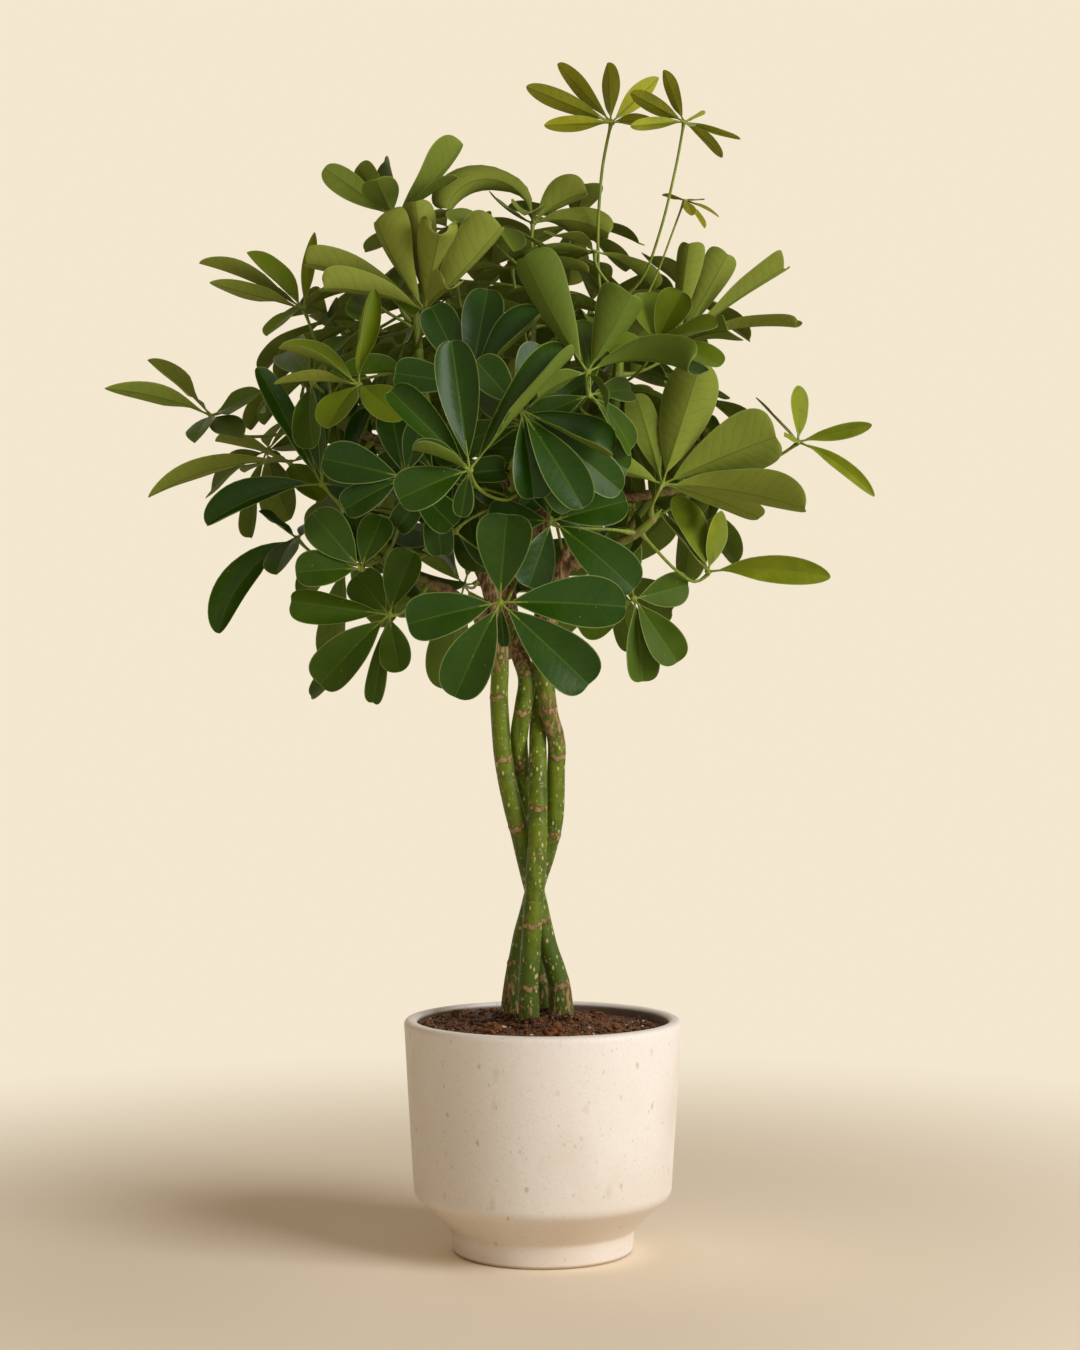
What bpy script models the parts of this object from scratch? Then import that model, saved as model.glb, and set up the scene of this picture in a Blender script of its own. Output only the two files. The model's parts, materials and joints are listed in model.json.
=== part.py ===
"""A braided umbrella tree (Schefflera) in a round stoneware pot.

Four green stems are plaited above the soil and branch inside a round crown. Every leaf is one
piece: a stalk that leaves its branch and ends in a hub, from which the leaflets spread.

Metres, +Z up. The origin is the middle of the pot's flat underside, and -Y is the front.
"""

import itertools
import math

import bmesh
import bpy
from mathutils import Matrix, Vector
from mathutils.bvhtree import BVHTree

MM = 0.001
GAP = 0.3 * MM  # room between neighbouring pieces

# Pot: a round body, a slanting shoulder under it and a narrower foot
RIM_RADIUS = 100 * MM
RIM_TOP = 166.5 * MM
WALL = 9.5 * MM
BODY_FOOT_RADIUS = 92.5 * MM  # where the body ends and the slanting shoulder begins
BODY_FOOT_Z = 42 * MM
FOOT_RADIUS = 66 * MM
FOOT_CREASE_Z = 16.5 * MM
FOOT_TAPER = 1.5 * MM
FOOT_EDGE = 3 * MM
FOOT_STEPS = 2
RIM_ROUNDING = 4 * MM
RIM_STEPS = 3
SHOULDER_ROUNDING = 11 * MM
SHOULDER_STEPS = 4
FLOOR_Z = 14 * MM
TURNED_STEPS = 32

# Soil: fills the pot to just under the rim and is mounded round the stems
SOIL_EDGE_Z = 159.5 * MM
SOIL_MOUND_Z = 170 * MM
SOIL_RINGS = 5

# Stems and branches
STEM_SPACING = 24 * MM
BRANCH_SPACING = 22 * MM
COLLAR = 6 * MM  # how far a branch runs straight out of its stem
BRANCH_TAPER = 1.4  # above 1, a branch thins mostly near its tip
TUBE_SIDES = 8
SOCKET_POINTS = 4  # how many of a stem's lowest points its socket in the soil follows

# Leaves
BLADE = 1.0 * MM  # thickness
STALK_RADIUS = 1.5 * MM
STALK_SIDES = 5
STALK_STEPS = 4
STALK_START = 0.16  # of a stalk's length, over which it heads away from the wood
STALK_END = 0.34  # of a stalk's length, over which it turns square to its hub
NECK = 1.2 * MM  # from the hub's underside to the end of the stalk
STALKLET_HALF_WIDTH = 1.1 * MM
STALKLET_SHARE = 1 / 16  # of a narrow leaflet's width
HUB_RADIUS = 4.2 * MM
HUB_SLOT = math.radians(27)  # least turn between two leaflets at the hub
HUB_PLACE = math.radians(11)  # half the turn that a leaflet takes there
HUB_ROUNDS = 60  # rounds of easing leaflets apart at the hub
FULL_LEAFLET = 60 * MM  # a leaf with shorter leaflets has a smaller hub and a thinner stalk
CLEARANCE = 0.45 * MM  # kept round each leaf while the crown grows
# Share of a leaflet's length, and of its half width, at each row across it
STALKLET_END = 0.18
BLADE_ROWS = ((0.47, 0.80), (0.76, 1.0), (1.0, 0.34))
MIDRIB_ROW = 0.76  # the row that has a point on the midrib
ROLLED_FROM = 0.4  # share of the length by which a leaflet has turned through its whole roll
# How a crowded leaflet gives way: lift and roll in degrees, then size
TURNS = (
    (0, 0), (8, 0), (-8, 0), (0, 15), (0, -15), (15, 0), (-15, 0), (10, 20), (-10, -20),
    (22, 0), (-22, 0), (0, 35), (0, -35), (30, 15), (-30, -15), (38, 0), (-38, 0),
)
SIZES = (1.0, 0.86, 0.72)
# How a crowded stalk gives way: shift along its branch, and a sideways bow as a share of its length
STALK_SHIFTS = (0.0, 7 * MM, -7 * MM, 14 * MM, -14 * MM, 22 * MM, -22 * MM)
STALK_BOWS = (0.0, 0.12, -0.12, 0.24, -0.24)
# How a stalk's foot is eased off the wood until it clears it
SEAT_STEP = 0.2 * MM
SEAT_TRIES = 8
# Leaves that follow a rule: width and spread of lengths as shares of the length, turns in degrees
REGULAR_WIDTH = 0.42
REGULAR_UNEVEN = 0.13
REGULAR_SPREAD = 6  # how far a leaflet stands off its even place round the hub
REGULAR_DROOP = 16
REGULAR_DROOP_SPREAD = 9
REGULAR_ROLL = 10
REGULAR_BEND = 22
REGULAR_CUP = 10

CERAMIC = ("cream_stoneware", (0.80, 0.70, 0.59), 0.55)
EARTH = ("potting_soil", (0.045, 0.022, 0.012), 0.95)
GREEN_BARK = ("green_bark", (0.10, 0.17, 0.02), 0.6)
BROWN_BARK = ("brown_bark", (0.15, 0.11, 0.04), 0.75)
MATURE_LEAF = ("mature_leaf", (0.045, 0.13, 0.012), 0.35)
OLIVE_LEAF = ("olive_leaf", (0.14, 0.22, 0.02), 0.5)
YOUNG_LEAF = ("young_leaf", (0.24, 0.27, 0.02), 0.5)

# The plaited stems, from root to tip: points and radius in millimetres
STEMS = {
    "stem_left": (
        (15, -6, 138, 10.4), (13.5, -6, 165, 9.4), (12, -7, 188, 8.3), (8.5, -7.5, 203, 7.6),
        (2.5, -8, 222, 7.2), (-6, -8.4, 259, 7.1), (-17, -9, 303, 7), (-27, -8, 345, 6.7),
        (-31, -7, 390, 6.5), (-31, -5, 430, 6.3), (-38, -5, 474, 5.9), (-56, -2, 517, 5.3),
        (-76, 2, 570, 4.5), (-88, 6, 630, 3.9), (-94, 8, 690, 3.4)),
    "stem_rear": (
        (-2, 17, 138, 6.9), (-1, 17, 165, 6.9), (-1, 17, 188, 6.8), (-4, 19, 222, 6.8),
        (-6, 21.8, 259, 6.8), (-10, 12, 303, 6.7), (-15.5, 4, 345, 6.5), (-17.3, -1, 367, 6.3),
        (-14, -4, 390, 6.4), (-11.5, 0, 410, 6.4), (-17, 10, 428, 6.2), (-22, 19, 446, 5.9),
        (-25, 30, 474, 5.6), (-28, 48, 520, 5), (-32, 62, 580, 4.2), (-32, 66, 650, 3.4)),
    "stem_front": (
        (-9, -23, 138, 7.5), (-9.5, -23, 165, 7.5), (-10, -23, 188, 7.3), (-8.5, -23.2, 222, 7.2),
        (-6, -23.4, 259, 7.1), (-3.5, -20, 303, 6.9), (-3.5, -13, 345, 6.5), (-3.5, -2, 367, 6.1),
        (-3, 11, 390, 6.1), (-2, 18, 430, 6), (0, 16, 474, 5.6), (0, 10, 520, 5),
        (-4, 8, 580, 4.3), (-8, 10, 640, 3.7), (-8, 14, 715, 3.2)),
    "stem_right": (
        (-24, 0, 138, 7.6), (-23, 0, 165, 7.3), (-21.5, 1, 188, 7), (-15, 5, 222, 6.9),
        (-5.5, 6.7, 259, 6.8), (7, -1, 303, 6.8), (9.5, -3.5, 345, 6.5), (9.5, -5, 367, 6.3),
        (4, -7, 390, 6.4), (1.5, -6.5, 430, 6.2), (10, -10, 474, 5.8), (26, -12, 520, 5.2),
        (44, -8, 570, 4.6), (54, 2, 630, 3.9), (56, 6, 690, 3.4)),
}
# Side branches: the stem that bears each, its points after the seat, then root and tip radius
BRANCHES = {
    "branch_left_low": ("stem_left", 462, ((-66, -22, 472), (-100, -34, 486), (-132, -40, 508)), 4.2, 2.8),
    "branch_left": ("stem_left", 566, ((-105, -6, 576), (-140, -10, 590), (-172, -6, 612)), 3.8, 2.6),
    "branch_front": ("stem_front", 498, ((-4, -28, 508), (-14, -58, 526), (-22, -82, 556)), 4.2, 2.8),
    "branch_right": ("stem_right", 500, ((46, -28, 503), (68, -36, 514), (84, -34, 530)), 3.8, 2.8),
    "branch_right_far": ("stem_right", 548, ((64, 6, 542), (100, 14, 548), (136, 16, 562)), 3.6, 2.4),
    "branch_left_back": ("stem_rear", 500, ((-52, 66, 508), (-88, 92, 530), (-116, 104, 566)), 4.0, 2.8),
    "branch_back": ("stem_rear", 560, ((-26, 92, 566), (-18, 122, 590), (-16, 134, 630)), 3.8, 2.6),
    "branch_right_back": ("stem_front", 488, ((22, 42, 494), (58, 72, 516), (88, 90, 556)), 4.2, 2.8),
}

# Leaves: the piece that bears the stalk, the stalk's height on it, the hub, the way the upper
# side faces (degrees right of the front, degrees up), and the leaflets. A leaflet is its tip
# from the hub, its width, and where they are not 0 its roll, bend and cup in degrees.
MATURE_LEAVES = {
    "leaf_front_low": ("branch_front", 520, (-29, -120, 462), (-5, 20), (
        (5, -5, 59, 38, 0, 14, 8), (85, 8, -3, 38, 0, 16, 8), (60, -10, -56, 38, 0, 14, 8),
        (-30, -8, -64, 35, 0, 16, 8), (-62, -5, -15, 35, 0, 12, 8), (3, 14, -30, 9))),
    "leaf_front_glossy": ("branch_front", 548, (-48, -170, 547), (0, 22), (
        (-52, 5, 52, 27, 0, 12, 26), (-12, 8, 85, 31, 0, 15, 22), (68, 12, 78, 32, -35, 25, 32),
        (-46, -8, -20, 32, 0, 14, 8), (-39, -12, 10, 22, 55, 30, 34), (-6, 16, -30, 14))),
    "leaf_front_middle": ("stem_front", 590, (-15, -130, 590), (15, 5), (
        (9, -8, -60, 28, 0, 20, 12), (40, -8, -70, 30, 0, 20, 12), (61, -5, -28, 32, 25, 25, 26),
        (72, 16, -52, 28, 0, 16), (-30, 6, 34, 26), (12, 14, 46, 26))),
    "leaf_front_high": ("stem_right", 600, (30, -110, 618), (170, 42), (
        (-44, -10, 77, 36, 0, -20, 22), (30, -8, 53, 32, 0, -20, 22), (69, -12, -2, 34, 20, 62, 20),
        (-52, -20, 4, 28, 0, 20), (12, -42, -34, 28, 0, 30))),
    "leaf_front_right_low": ("branch_right", 512, (6, -82, 519), (20, 12), (
        (56, -14, -48, 36, 0, 24, 8), (52, 4, 14, 28, 0, 10), (-14, -6, 44, 26), (-44, -8, 6, 28),
        (-16, -6, -46, 28))),
    "leaf_left_low": ("branch_left_low", 480, (-107, -64, 455), (-20, 12), (
        (-47, -8, -49, 35, 0, 18, 8), (8, -8, -40, 24), (-56, 20, -57, 22, 30), (-68, -4, 9, 30, 25, 0, 28),
        (-23, 8, 28, 28), (-12, 16, -62, 16), (18, -10, 43, 31, 0, 12, 20))),
    "leaf_left_bud": ("branch_left_low", 490, (-125, -84, 486), (-12, 20), (
        (-33, -5, 38, 30, 0, 14, 8), (-44, -8, -3, 28, 0, 12, 8), (15, 2, 36, 26, 0, 12, 8),
        (-6, 20, 42, 22))),
    "leaf_left_droop": ("branch_left_low", 498, (-173, -40, 510), (-40, 55), (
        (-54, -12, -68, 30, -45, 60, 14), (-26, -6, 18, 26, 20), (-10, -42, -28, 26, 0, 30),
        (20, 36, 18, 24))),
    "leaf_left_middle": ("branch_left_low", 506, (-154, -62, 546), (-35, 35), (
        (-79, -5, -29, 30, -15, 36, 20), (-1, 8, 74, 24, 0, 12), (-45, 10, 82, 22, 55),
        (3, -16, 38, 10, 0, -10, 20), (42, -34, -12, 28, 0, 24))),
    "leaf_left_inner": ("branch_left_low", 494, (-94, -104, 547), (-10, 15), (
        (-55, -8, 12, 30, 0, 12, 8), (-41, -10, -20, 24, 0, 12, 8), (-10, 8, 48, 24), (16, -6, 40, 20),
        (34, -8, -34, 24, 0, 16))),
    "leaf_far_left": ("branch_left", 606, (-237, -10, 599), (-60, 68), (
        (-49, 22, 42, 24, 35, 12), (-72, -26, 16, 24, 50, 12), (38, -24, 14, 22, 40), (26, -32, -20, 24),
        (-6, -44, -24, 22, 0, 20), (10, 46, 8, 22))),
    "leaf_left_sweep": ("branch_left", 584, (-180, -22, 565), (-50, 66), (
        (-98, -16, -27, 26, 40, 30, 6), (-55, 18, 16, 32, 40, 20, 14), (20, -50, -8, 28, 0, 26),
        (40, 40, 14, 26), (-26, -52, -12, 24, 0, 22))),
    "leaf_left_crown": ("branch_left", 600, (-172, 0, 677), (-35, 60), (
        (-74, -8, 31, 26, 35, 12, 10), (-44, 16, 37, 26, 20, 12, 10), (-64, -28, 14, 22, 40),
        (6, 20, 58, 12), (-22, -44, -26, 20, 0, 20), (28, -36, 16, 26))),
    "leaf_left_upper": ("stem_left", 604, (-126, -90, 612), (-20, 50), (
        (-54, -4, 24, 25, 20, 18, 12), (-56, -18, -2, 22, 45, 22, 10), (10, 6, 66, 22, 45, 20, 30),
        (30, -26, -28, 28, 0, 24), (-18, -38, -34, 28, 0, 24))),
    "leaf_crown_left": ("stem_left", 676, (-108, 8, 744), (-150, 64), (
        (-50, 0, 35, 20, 60), (-27, 10, 38, 24, 20), (-8, 20, 44, 28, 0, -12, 10),
        (50, 5, 54, 35, 0, -14, 10), (47, -16, 26, 24, 20), (-10, -46, 18, 26))),
    "leaf_crown_front": ("stem_left", 650, (-82, -60, 667), (175, 52), (
        (-35, 4, 65, 33, 0, -14, 14), (-8, 14, 80, 29, 0, -10, 30), (10, -12, 54, 40, 0, 30, 48),
        (50, -4, 62, 34, 0, -16, 26), (-85, 8, 34, 26, 0, 22, 10), (-70, -18, 12, 30, 0, 24, 14),
        (18, -46, 8, 30, 0, 40, 40))),
    "leaf_centre_upper": ("stem_left", 588, (-50, -80, 612), (0, 15), (
        (-27, 5, 55, 27, 0, 10, 10), (12, 5, 67, 29, 0, 10, 10), (50, -5, 50, 29, 0, 14, 22),
        (-52, -2, 8, 26, 0, 14), (34, -8, -30, 26, 0, 20))),
    "leaf_crown_top": ("stem_front", 690, (-7, 20, 742), (150, 72), (
        (39, -4, 21, 30, -20, 24, 12), (55, -10, -10, 26, -25, 30, 12), (-62, -8, 8, 27, 0, 200, 20),
        (-30, 34, 26, 26, 0, -20), (20, 50, 10, 28, 0, 20), (-6, -52, -4, 28, 0, 34))),
    "leaf_crown_right": ("stem_right", 640, (98, 20, 654), (150, 50), (
        (9, 5, 76, 23, 0, -12, 12), (42, 8, 71, 27, 0, -12, 12), (81, -4, 57, 27, 20, 14, 12),
        (87, -12, 10, 25, 20, 30, 10), (36, -40, 4, 27, 0, 28))),
    "leaf_crown_right_front": ("stem_right", 620, (78, -62, 643), (20, 48), (
        (-9, 4, 36, 30, 0, 10, 14), (22, 2, 34, 27, 0, 12, 14), (42, -18, 10, 27, 0, 20, 10),
        (44, -22, -18, 28, 0, 30), (2, -42, -26, 28, 0, 26), (-38, -18, -4, 28, 0, 20))),
    "leaf_right_middle": ("branch_right", 524, (84, -46, 547), (160, 34), (
        (27, 2, 87, 33, 0, -12, 14), (80, -6, 33, 40, 0, 16, 8), (99, -10, -18, 35, 15, 34, 12),
        (72, 26, -30, 26, 20, 20), (-51, -16, 13, 30, 0, 16, 44), (-19, 10, 64, 22, 40))),
    "leaf_right_low": ("branch_right", 508, (66, 6, 468), (20, -10), (
        (6, 0, -60, 26, 0, 12, 10), (31, -6, -46, 28, 0, 12, 10), (-40, 8, -22, 26),
        (-12, 14, 52, 28), (44, 20, 10, 26))),
}
YOUNG_LEAVES = {
    "young_leaf_tall": ("stem_right", 680, (50, 20, 815), (160, 48), (
        (-62, 10, 28, 16, 15), (-39, 20, 47, 17), (-2, 25, 49, 19), (35, 16, 36, 17),
        (-49, -12, -5, 13, 15), (-5, -46, -10, 16, 0, 12), (31, -36, -8, 13, 0, 12))),
    "young_leaf_tall_right": ("stem_right", 686, (101, -10, 809), (168, 52), (
        (-14, 15, 40, 14), (-38, 8, 22, 14, 15), (-42, -14, 2, 11, 15), (16, 20, 10, 10),
        (40, -6, -14, 11, 25), (31, -16, -26, 12, 0, 14), (2, -30, -10, 12, 0, 12))),
    "young_leaf_small": ("stem_right", 672, (102, 0, 755), (120, 66), (
        (-16, 4, 4, 7), (4, -14, -14, 8, 0, 12), (17, -9, -20, 8, 0, 12), (25, 3, -12, 8, 0, 12),
        (15, 15, 3, 8))),
    "young_leaf_far_right": ("branch_right_far", 558, (185, 10, 582), (40, 40), (
        (1, 6, 41, 17), (52, -8, 11, 13, 30), (53, -14, -41, 14, 20, 20), (-30, 10, 33, 12, 30),
        (-12, -20, 2, 9))),
    "leaf_right_long": ("branch_right", 518, (121, 30, 489), (20, 50), (
        (88, -12, -5, 24, 30, 14, 8), (-38, 8, 46, 20, 30), (-26, 26, 52, 26, 0, 20), (10, 16, 43, 18, 30))),
}
# Leaves whose leaflets follow a rule: bearer, height, hub, facing, leaflets, length, first turn
REGULAR_LEAVES = {
    "leaf_back_low_left": ("branch_left_back", 520, (-150, 118, 500), (-128, 20), 6, 72, 10),
    "leaf_back_low": ("branch_left_back", 506, (-62, 176, 484), (-162, 16), 6, 74, 34),
    "leaf_back_low_right": ("branch_right_back", 504, (52, 172, 492), (164, 16), 6, 70, 0),
    "leaf_right_back_low": ("branch_right_back", 530, (112, 120, 550), (136, 24), 6, 62, 22),
    "leaf_left_back": ("branch_left_back", 556, (-208, 84, 582), (-110, 36), 6, 74, 18),
    "leaf_back_left": ("branch_left_back", 560, (-146, 172, 592), (-142, 30), 6, 76, 40),
    "leaf_back": ("branch_back", 596, (-38, 212, 586), (-176, 26), 6, 76, 12),
    "leaf_back_right": ("branch_right_back", 548, (76, 190, 594), (156, 28), 6, 74, 30),
    "leaf_right_back": ("branch_right_back", 552, (122, 128, 628), (128, 40), 6, 68, 8),
    "leaf_back_crown_left": ("stem_left", 664, (-160, 92, 684), (-122, 50), 6, 70, 26),
    "leaf_back_crown": ("branch_back", 622, (-72, 156, 692), (-160, 52), 6, 70, 2),
    "leaf_back_crown_right": ("branch_back", 612, (38, 142, 700), (158, 52), 6, 70, 36),
    "leaf_right_back_crown": ("stem_right", 656, (108, 92, 700), (130, 52), 6, 62, 14),
    "leaf_top_back_left": ("stem_rear", 636, (-70, 74, 748), (-146, 74), 6, 64, 20),
    "leaf_top_back": ("stem_front", 704, (24, 84, 752), (150, 72), 6, 62, 44),
    "leaf_inner_left": ("stem_rear", 590, (-108, 40, 640), (-90, 60), 6, 60, 4),
    "leaf_inner_right": ("stem_right", 590, (112, 26, 600), (100, 48), 6, 60, 24),
    "leaf_inner_back": ("stem_rear", 612, (20, 62, 640), (120, 60), 6, 58, 16),
}


def clear_scene():
    """Remove every object that the scene holds."""
    for item in list(bpy.data.objects):
        bpy.data.objects.remove(item, do_unlink=True)


def new_collection(name):
    """Make a collection in the scene."""
    collection = bpy.data.collections.new(name)
    bpy.context.scene.collection.children.link(collection)
    return collection


def finish(spec):
    """The plain material of a piece: its name, colour and roughness."""
    name, colour, roughness = spec
    material = bpy.data.materials.get(name)
    if material is None:
        material = bpy.data.materials.new(name)
        material.use_nodes = True
        shader = material.node_tree.nodes["Principled BSDF"]
        shader.inputs["Base Color"].default_value = (*colour, 1.0)
        shader.inputs["Roughness"].default_value = roughness
        shader.inputs["Metallic"].default_value = 0.0
    return material


def place(name, data, collection, spec=None, location=(0, 0, 0)):
    """Put an object with this data in a collection, with its material."""
    item = bpy.data.objects.new(name, data)
    item.location = location
    collection.objects.link(item)
    if spec:
        data.materials.append(finish(spec))
    return item


def hide_cutter(item):
    """Mark an object as a cutter."""
    item.hide_render = True
    item.display_type = "WIRE"


# ---------------------------------------------------------------- pot and soil


def rounded_corner(before, corner, after, radius, steps):
    """Points of an arc that rounds the corner between two straight runs of a profile."""
    inward = (Vector(before) - Vector(corner)).normalized()
    outward = (Vector(after) - Vector(corner)).normalized()
    half = inward.angle(outward) / 2
    reach = radius / math.tan(half)
    centre = Vector(corner) + (inward + outward).normalized() * (radius / math.sin(half))
    start = (Vector(corner) + inward * reach - centre).normalized()
    end = (Vector(corner) + outward * reach - centre).normalized()
    return [tuple(centre + start.slerp(end, i / steps) * radius) for i in range(steps + 1)]


def turned(name, profile, collection, spec):
    """A solid of revolution from a profile that runs down its outer side."""
    mesh = bpy.data.meshes.new(name)
    points = [(x, 0.0, z) for x, z in profile]
    mesh.from_pydata(points, [(i, i + 1) for i in range(len(points) - 1)], [])
    item = place(name, mesh, collection, spec)
    screw = item.modifiers.new("turn", "SCREW")
    screw.steps = TURNED_STEPS
    screw.render_steps = TURNED_STEPS
    screw.use_merge_vertices = True
    screw.merge_threshold = 0.0001
    screw.use_smooth_shade = True
    return item


def inner_wall():
    """The pot's inner side from the rim down to the middle of its floor, as (radius, height)."""
    return [
        (RIM_RADIUS - WALL, SOIL_EDGE_Z),
        (BODY_FOOT_RADIUS - WALL, BODY_FOOT_Z + WALL / 2),
        (FOOT_RADIUS - WALL, FLOOR_Z + WALL / 2),
        (FOOT_RADIUS - 1.5 * WALL, FLOOR_Z),
        (0.0, FLOOR_Z),
    ]


def make_pot(collection):
    """The stoneware pot, open at the top."""
    outer = (RIM_RADIUS, RIM_TOP)
    inner = (RIM_RADIUS - WALL, RIM_TOP)
    body_foot = (BODY_FOOT_RADIUS, BODY_FOOT_Z)
    crease = (FOOT_RADIUS, FOOT_CREASE_Z)
    foot = (FOOT_RADIUS - FOOT_TAPER, 0.0)
    profile = list(reversed(inner_wall()))
    profile += rounded_corner(inner_wall()[0], inner, outer, RIM_ROUNDING, RIM_STEPS)
    profile += rounded_corner(inner, outer, body_foot, RIM_ROUNDING, RIM_STEPS)
    profile += rounded_corner(outer, body_foot, crease, SHOULDER_ROUNDING, SHOULDER_STEPS)
    profile += rounded_corner(body_foot, crease, foot, FOOT_EDGE, FOOT_STEPS)
    profile += rounded_corner(crease, foot, (0.0, 0.0), FOOT_EDGE, FOOT_STEPS)
    profile.append((0.0, 0.0))
    return turned("pot", profile, collection, CERAMIC)


def make_soil(collection, cutters, stems):
    """The potting soil, with a socket for the foot of each stem."""
    edge = inner_wall()[0][0] - GAP
    mound = []
    for i in range(SOIL_RINGS + 1):
        share = 0.5 + 0.5 * math.cos(math.pi * i / SOIL_RINGS)
        mound.append((edge * i / SOIL_RINGS, SOIL_EDGE_Z + (SOIL_MOUND_Z - SOIL_EDGE_Z) * share))
    slope = (RIM_RADIUS - BODY_FOOT_RADIUS) / (SOIL_EDGE_Z - BODY_FOOT_Z)
    below = [(r - GAP * (1 + slope) if r else r, z + GAP) for r, z in inner_wall()[1:]]
    soil = turned("soil", mound + below, collection, EARTH)
    for name, stem in stems.items():
        socket = place(f"{name}_socket", socket_mesh(stem), cutters)
        hide_cutter(socket)
        cut = soil.modifiers.new(f"{name}_socket", "BOOLEAN")
        cut.operation = "DIFFERENCE"
        cut.solver = "EXACT"
        cut.object = socket
    return soil


def socket_mesh(stem):
    """The space that the foot of a stem takes in the soil, with room round it."""
    down = (stem.path[0] - stem.path[1]).normalized()
    depth = [stem.path[0] + down * GAP] + stem.path[1:SOCKET_POINTS]
    radii = [radius + GAP for radius in stem.radii[:SOCKET_POINTS]]
    curve = tube_curve("socket", depth, radii)
    guide = bpy.data.objects.new("socket_guide", curve)
    bpy.context.scene.collection.objects.link(guide)
    graph = bpy.context.evaluated_depsgraph_get()
    mesh = bpy.data.meshes.new_from_object(guide.evaluated_get(graph))
    bpy.data.objects.remove(guide, do_unlink=True)
    shape = bmesh.new()
    shape.from_mesh(mesh)
    bmesh.ops.remove_doubles(shape, verts=shape.verts, dist=0.00001)
    shape.to_mesh(mesh)
    shape.free()
    return mesh


# ---------------------------------------------------------------- space taken


class Space:
    """A closed or open surface that other pieces must not touch."""

    def __init__(self, verts, faces):
        self.tree = BVHTree.FromPolygons(verts, faces)
        self.low = [min(v[k] for v in verts) for k in range(3)]
        self.high = [max(v[k] for v in verts) for k in range(3)]

    def meets(self, other):
        """Whether the two surfaces touch."""
        apart = any(self.low[k] > other.high[k] or self.high[k] < other.low[k] for k in range(3))
        return not apart and bool(self.tree.overlap(other.tree))

    def meets_any(self, others):
        """Whether the surface touches one of the others."""
        return any(self.meets(other) for other in others)


def strip_faces(row, following):
    """The faces between two rows of two or three points, as seen from above."""
    right, left = row[0], row[-1]
    if len(row) == 3:
        middle = row[1]
        return [
            (right, following[0], middle),
            (middle, following[0], following[-1]),
            (middle, following[-1], left),
        ]
    if len(following) == 3:
        middle = following[1]
        return [
            (right, following[0], middle),
            (right, middle, left),
            (left, middle, following[2]),
        ]
    return [(right, following[0], following[1], left)]


def shell_space(rows, margin):
    """The space that a strip takes, with a margin above and below it."""
    verts, faces = [], []
    for offset in (-margin, margin):
        indexed = []
        for i, row in enumerate(rows):
            indexed.append([len(verts) + k for k in range(len(row))])
            across = (row[0] - row[-1]).normalized()
            along = rows[min(i + 1, len(rows) - 1)][0] - rows[max(i - 1, 0)][0]
            up = across.cross(along).normalized()
            spread = [CLEARANCE] + [0.0] * (len(row) - 2) + [-CLEARANCE]
            verts += [point + up * offset + across * wide for point, wide in zip(row, spread)]
        for row, following in zip(indexed, indexed[1:]):
            faces += strip_faces(row, following)
    return Space(verts, faces)


def tube_rings(path, radii, sides):
    """Rings of points round a path."""
    rings = []
    for i, centre in enumerate(path):
        along = (path[min(i + 1, len(path) - 1)] - path[max(i - 1, 0)]).normalized()
        first = along.orthogonal().normalized() if not rings else None
        if rings:
            first = rings[-1][0] - path[i - 1]
            first = (first - along * first.dot(along)).normalized()
        second = along.cross(first)
        turns = [2 * math.pi * k / sides for k in range(sides)]
        ring = [centre + (first * math.cos(t) + second * math.sin(t)) * radii[i] for t in turns]
        rings.append(ring)
    return rings


def tube_space(path, radii, sides, margin=CLEARANCE):
    """The space that a tube takes, with a margin round it."""
    rings = tube_rings(path, [r + margin for r in radii], sides)
    verts = [point for ring in rings for point in ring]
    faces = []
    for i in range(len(rings) - 1):
        low, high = i * sides, (i + 1) * sides
        for k in range(sides):
            follow = (k + 1) % sides
            faces.append((low + k, low + follow, high + follow, high + k))
    faces.append(tuple(range(sides)))
    faces.append(tuple(range(len(verts) - sides, len(verts))))
    return Space(verts, faces)


# ---------------------------------------------------------------- stems and branches


def smooth_path(points, spacing):
    """Points at about this spacing on a smooth curve through the given points."""
    ends = [points[0] * 2 - points[1], *points, points[-1] * 2 - points[-2]]
    path = []
    for a, b, c, d in zip(ends, ends[1:], ends[2:], ends[3:]):
        steps = max(1, round((c - b).length / spacing))
        for i in range(steps):
            t = i / steps
            rise = (c - a) * t
            curve = (2 * a - 5 * b + 4 * c - d) * t**2
            turn = (3 * b - a - 3 * c + d) * t**3
            path.append(0.5 * (2 * b + rise + curve + turn))
    path.append(points[-1].copy())
    return path


def tube_curve(name, path, radii):
    """A curve that bevels into a round tube with filled ends."""
    curve = bpy.data.curves.new(name, "CURVE")
    curve.dimensions = "3D"
    curve.bevel_depth = radii[0]
    curve.bevel_resolution = 2
    curve.use_fill_caps = True
    spline = curve.splines.new("POLY")
    spline.points.add(len(path) - 1)
    for point, place_at, radius in zip(spline.points, path, radii):
        point.co = (*place_at, 1.0)
        point.radius = radius / radii[0]
    spline.use_smooth = True
    return curve


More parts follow.
